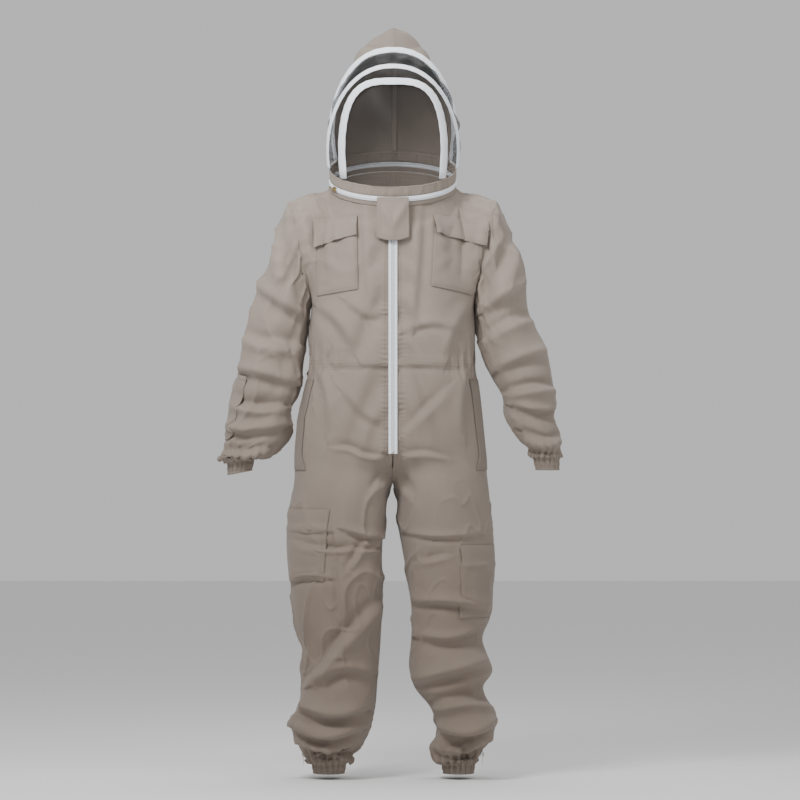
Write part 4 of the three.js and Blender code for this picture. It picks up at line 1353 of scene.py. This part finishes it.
SIDE_SIZE = (0.075, 0.66)
TOP_SIZE = (0.078, 0.66)
made = crumpled_net("veil_side_net", net_between(HOOPS["middle"], HOOPS["inner"], 0.006), (24, 150),
                    SIDE_SIZE, fine_net, 0.003, 30, 3)
fitted(made, "veil_side", "net", "hood", flat=SIDE_SIZE, held="stretched")
made = crumpled_net("veil_top_net", net_between(HOOPS["outer"], HOOPS["middle"], 0.006), (34, 190),
                    TOP_SIZE, dense_net, 0.006, 34, 11)
lining = crumpled_net("veil_top_net_lining", net_between(HOOPS["outer"], HOOPS["middle"], -0.003),
                      (34, 190), TOP_SIZE, dense_net, 0.006, 26, 23)
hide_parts("veil_top")
for net_piece in (made, lining):
    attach(net_piece, "hood")

FACE_BULGE = 0.026


def face_net(u, v):
    a, b = 2 * u - 1, 2 * v - 1
    reach = max(abs(a), abs(b), 1e-6)
    across, up = a / reach, b / reach
    middle = Vector((0, (-0.165 + ring_point(0, VEIL_FOOT).y) / 2, 0.1125))
    if abs(across) >= 1 - 1e-9:
        edge = HOOPS["inner"](0.5 + across * (0.5 - (up + 1) / 6))
    elif up < 0:
        edge = ring_point(across * INNER_FOOT, HEM_TOP - 0.004)
    else:
        edge = HOOPS["inner"](0.5 + across / 6)
    p = middle.lerp(edge, reach * 0.975)
    p.y -= FACE_BULGE * (1 - reach * reach)
    return p


FACE_SIZE = (0.27, 0.29)
bm = bmesh.new()
lay_out(bm, 60, 60, face_net, 0, FACE_SIZE)
made = make_object("face_veil_net", bm, fine_net)
co = points_of(made)
ripple = np.sin(co[:, 0] * 52 + 2.0 * crumple(co, 5.0, 1.0))
co[:, 1] += 0.0025 * ripple * smooth_step((0.1 - np.abs(co[:, 0])) / 0.03)
set_points(made, co)
fitted(made, "face_veil", "net", "hood", flat=FACE_SIZE, held="stretched")


# Crown: the twill back of the hood, cut in two halves that are sewn together over the head and
# down the back, with a binding over the seam inside, and sewn to the outer hoop.
def bezier(points, t):
    a, b, c, d = points
    return a * (1 - t) ** 3 + b * 3 * t * (1 - t) ** 2 + c * 3 * t * t * (1 - t) + d * t ** 3


CROWN_TIP = Vector((0, 0.020, 0.367))
SEAM_LINE = (ring_point(math.pi, VEIL_FOOT - 0.01), Vector((0, 0.186, 0.200)),
             Vector((0, 0.118, CROWN_TIP.z - 0.024)), CROWN_TIP)
CROWN_RISE = 0.78
CROWN_SPREAD = 0.066


def crown(u, v):
    """The hood's cloth from the seam, u 0, round to the rear hoop, u 1, and up to the tip."""
    back = bezier(SEAM_LINE, v)
    below = min(v / CROWN_RISE, 1)
    above = max((v - CROWN_RISE) / (1 - CROWN_RISE), 0)
    fore = HOOPS["outer"](1 - below / 2).lerp(CROWN_TIP, above)
    fore.z -= 0.016 * (1 - smooth_step(v / 0.12))
    if (fore - back).length > 0.012:
        fore = fore.lerp(back, (NET_MARGIN - 0.004) * (1 - above) / (fore - back).length)
    swell = CROWN_SPREAD * smooth_step((v - 0.3) / (CROWN_RISE - 0.3)) * max(1 - above ** 1.15, 0) ** 0.9
    turn = u * math.pi / 2
    p = back.lerp(fore, u)
    p.x = fore.x * math.sin(turn) + swell * math.sin(2 * turn)
    p.y = lerp(fore.y, back.y, math.cos(turn))
    groove = 0.0035 * math.exp(-(u / 0.045) ** 2)
    return p - (p - HOOD_MIDDLE).normalized() * groove


CROWN_SIZE = (0.20, 0.36)
crown_finish = twill("twill_crown", shade(CLOTH_COLOR, 0.80), CROWN_SIZE, (0.004, 0.010))
for hand, name in ((1, "left"), (-1, "right")):
    bm = bmesh.new()
    lay_out(bm, 46, 70, lambda u, v: mirrored(crown(u, v), hand), 0, CROWN_SIZE)
    sew(bm)
    made = make_object(f"crown_{name}_cloth", bm, crown_finish)
    if sum(p.normal.dot(Vector(p.center) - HOOD_MIDDLE) for p in made.data.polygons) < 0:
        made.data.flip_normals()
    refine(made)
    co = points_of(made)
    out = co - np.array(HOOD_MIDDLE)
    out /= np.linalg.norm(out, axis=1, keepdims=True)
    free = smooth_step((np.abs(co[:, 0]) - 0.004) / 0.03) * smooth_step((co[:, 2] - 0.075) / 0.05)
    ridge = 1 - np.abs(crumple(co, 11.0, 2.0)) * 3.2
    co += out * (free * (0.004 * crumple(co, 16.0, 6.0) + 0.0035 * ridge))[:, None]
    set_points(made, co)
    thicken(made)
    fitted(made, f"crown_{name}", "cloth", "hood", flat=CROWN_SIZE, held="stretched")


def seam_binding(u, v):
    p = bezier(SEAM_LINE, lerp(0.02, 0.97, v))
    inward = (HOOD_MIDDLE - p).normalized()
    return p + inward * 0.0065 + Vector((lerp(-0.002, 0.009, u), 0, 0))


bm = bmesh.new()
lay_out(bm, 4, 90, seam_binding, 0, (0.011, 0.38))
made = make_object("crown_seam_binding", bm, chest_flap_finish)
thicken(made, 0.0008)
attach(made, "hood")

# Ankle zips: short white zips set into the outside of each leg above the cuff, with a nickel
# slider that is down when the leg is closed.
for hand, name in ((1, "left"), (-1, "right")):
    low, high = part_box(f"ankle_zip_tape_{name}")

    def ankle_tape(u, v):
        y, z = lerp(low.y, high.y, u), lerp(low.z, high.z, v)
        hit = suit_tree.ray_cast(Vector((hand * 0.5, y, z)), Vector((-hand, 0, 0)))[0]
        return hit or Vector((hand * 0.2, y, z))

    made = stuck_patch(f"ankle_zip_tape_{name}_weave", ankle_tape, (8, 40), (0.02, 0.092), tape_finish,
                       lambda u, v, edge: 0.0026, suit_tree, wall=0.0009)
    fitted(made, f"ankle_zip_tape_{name}", "white_tape", "root", flat=(0.02, 0.092), held="hung")
    out_turn = Matrix.Rotation(math.radians(90 * hand), 3, "Z")
    low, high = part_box(f"ankle_zip_slider_{name}")
    middle = (low + high) / 2
    bm = bmesh.new()
    zip_slider(bm, middle, out_turn, SLIDER_SIZE)
    plain_piece(f"ankle_zip_slider_{name}_body", bm, nickel_finish, f"ankle_zip_slider_{name}", "nickel",
                f"ankle_zip_slider_{name}")
    low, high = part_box(f"ankle_zip_pull_{name}")
    bm = bmesh.new()
    zip_pull(bm, Vector(((low.x + high.x) / 2, (low.y + high.y) / 2, high.z)), out_turn, PULL_SIZE)
    plain_piece(f"ankle_zip_pull_{name}_tab", bm, nickel_finish, f"ankle_zip_pull_{name}", "nickel",
                f"ankle_zip_pull_{name}")
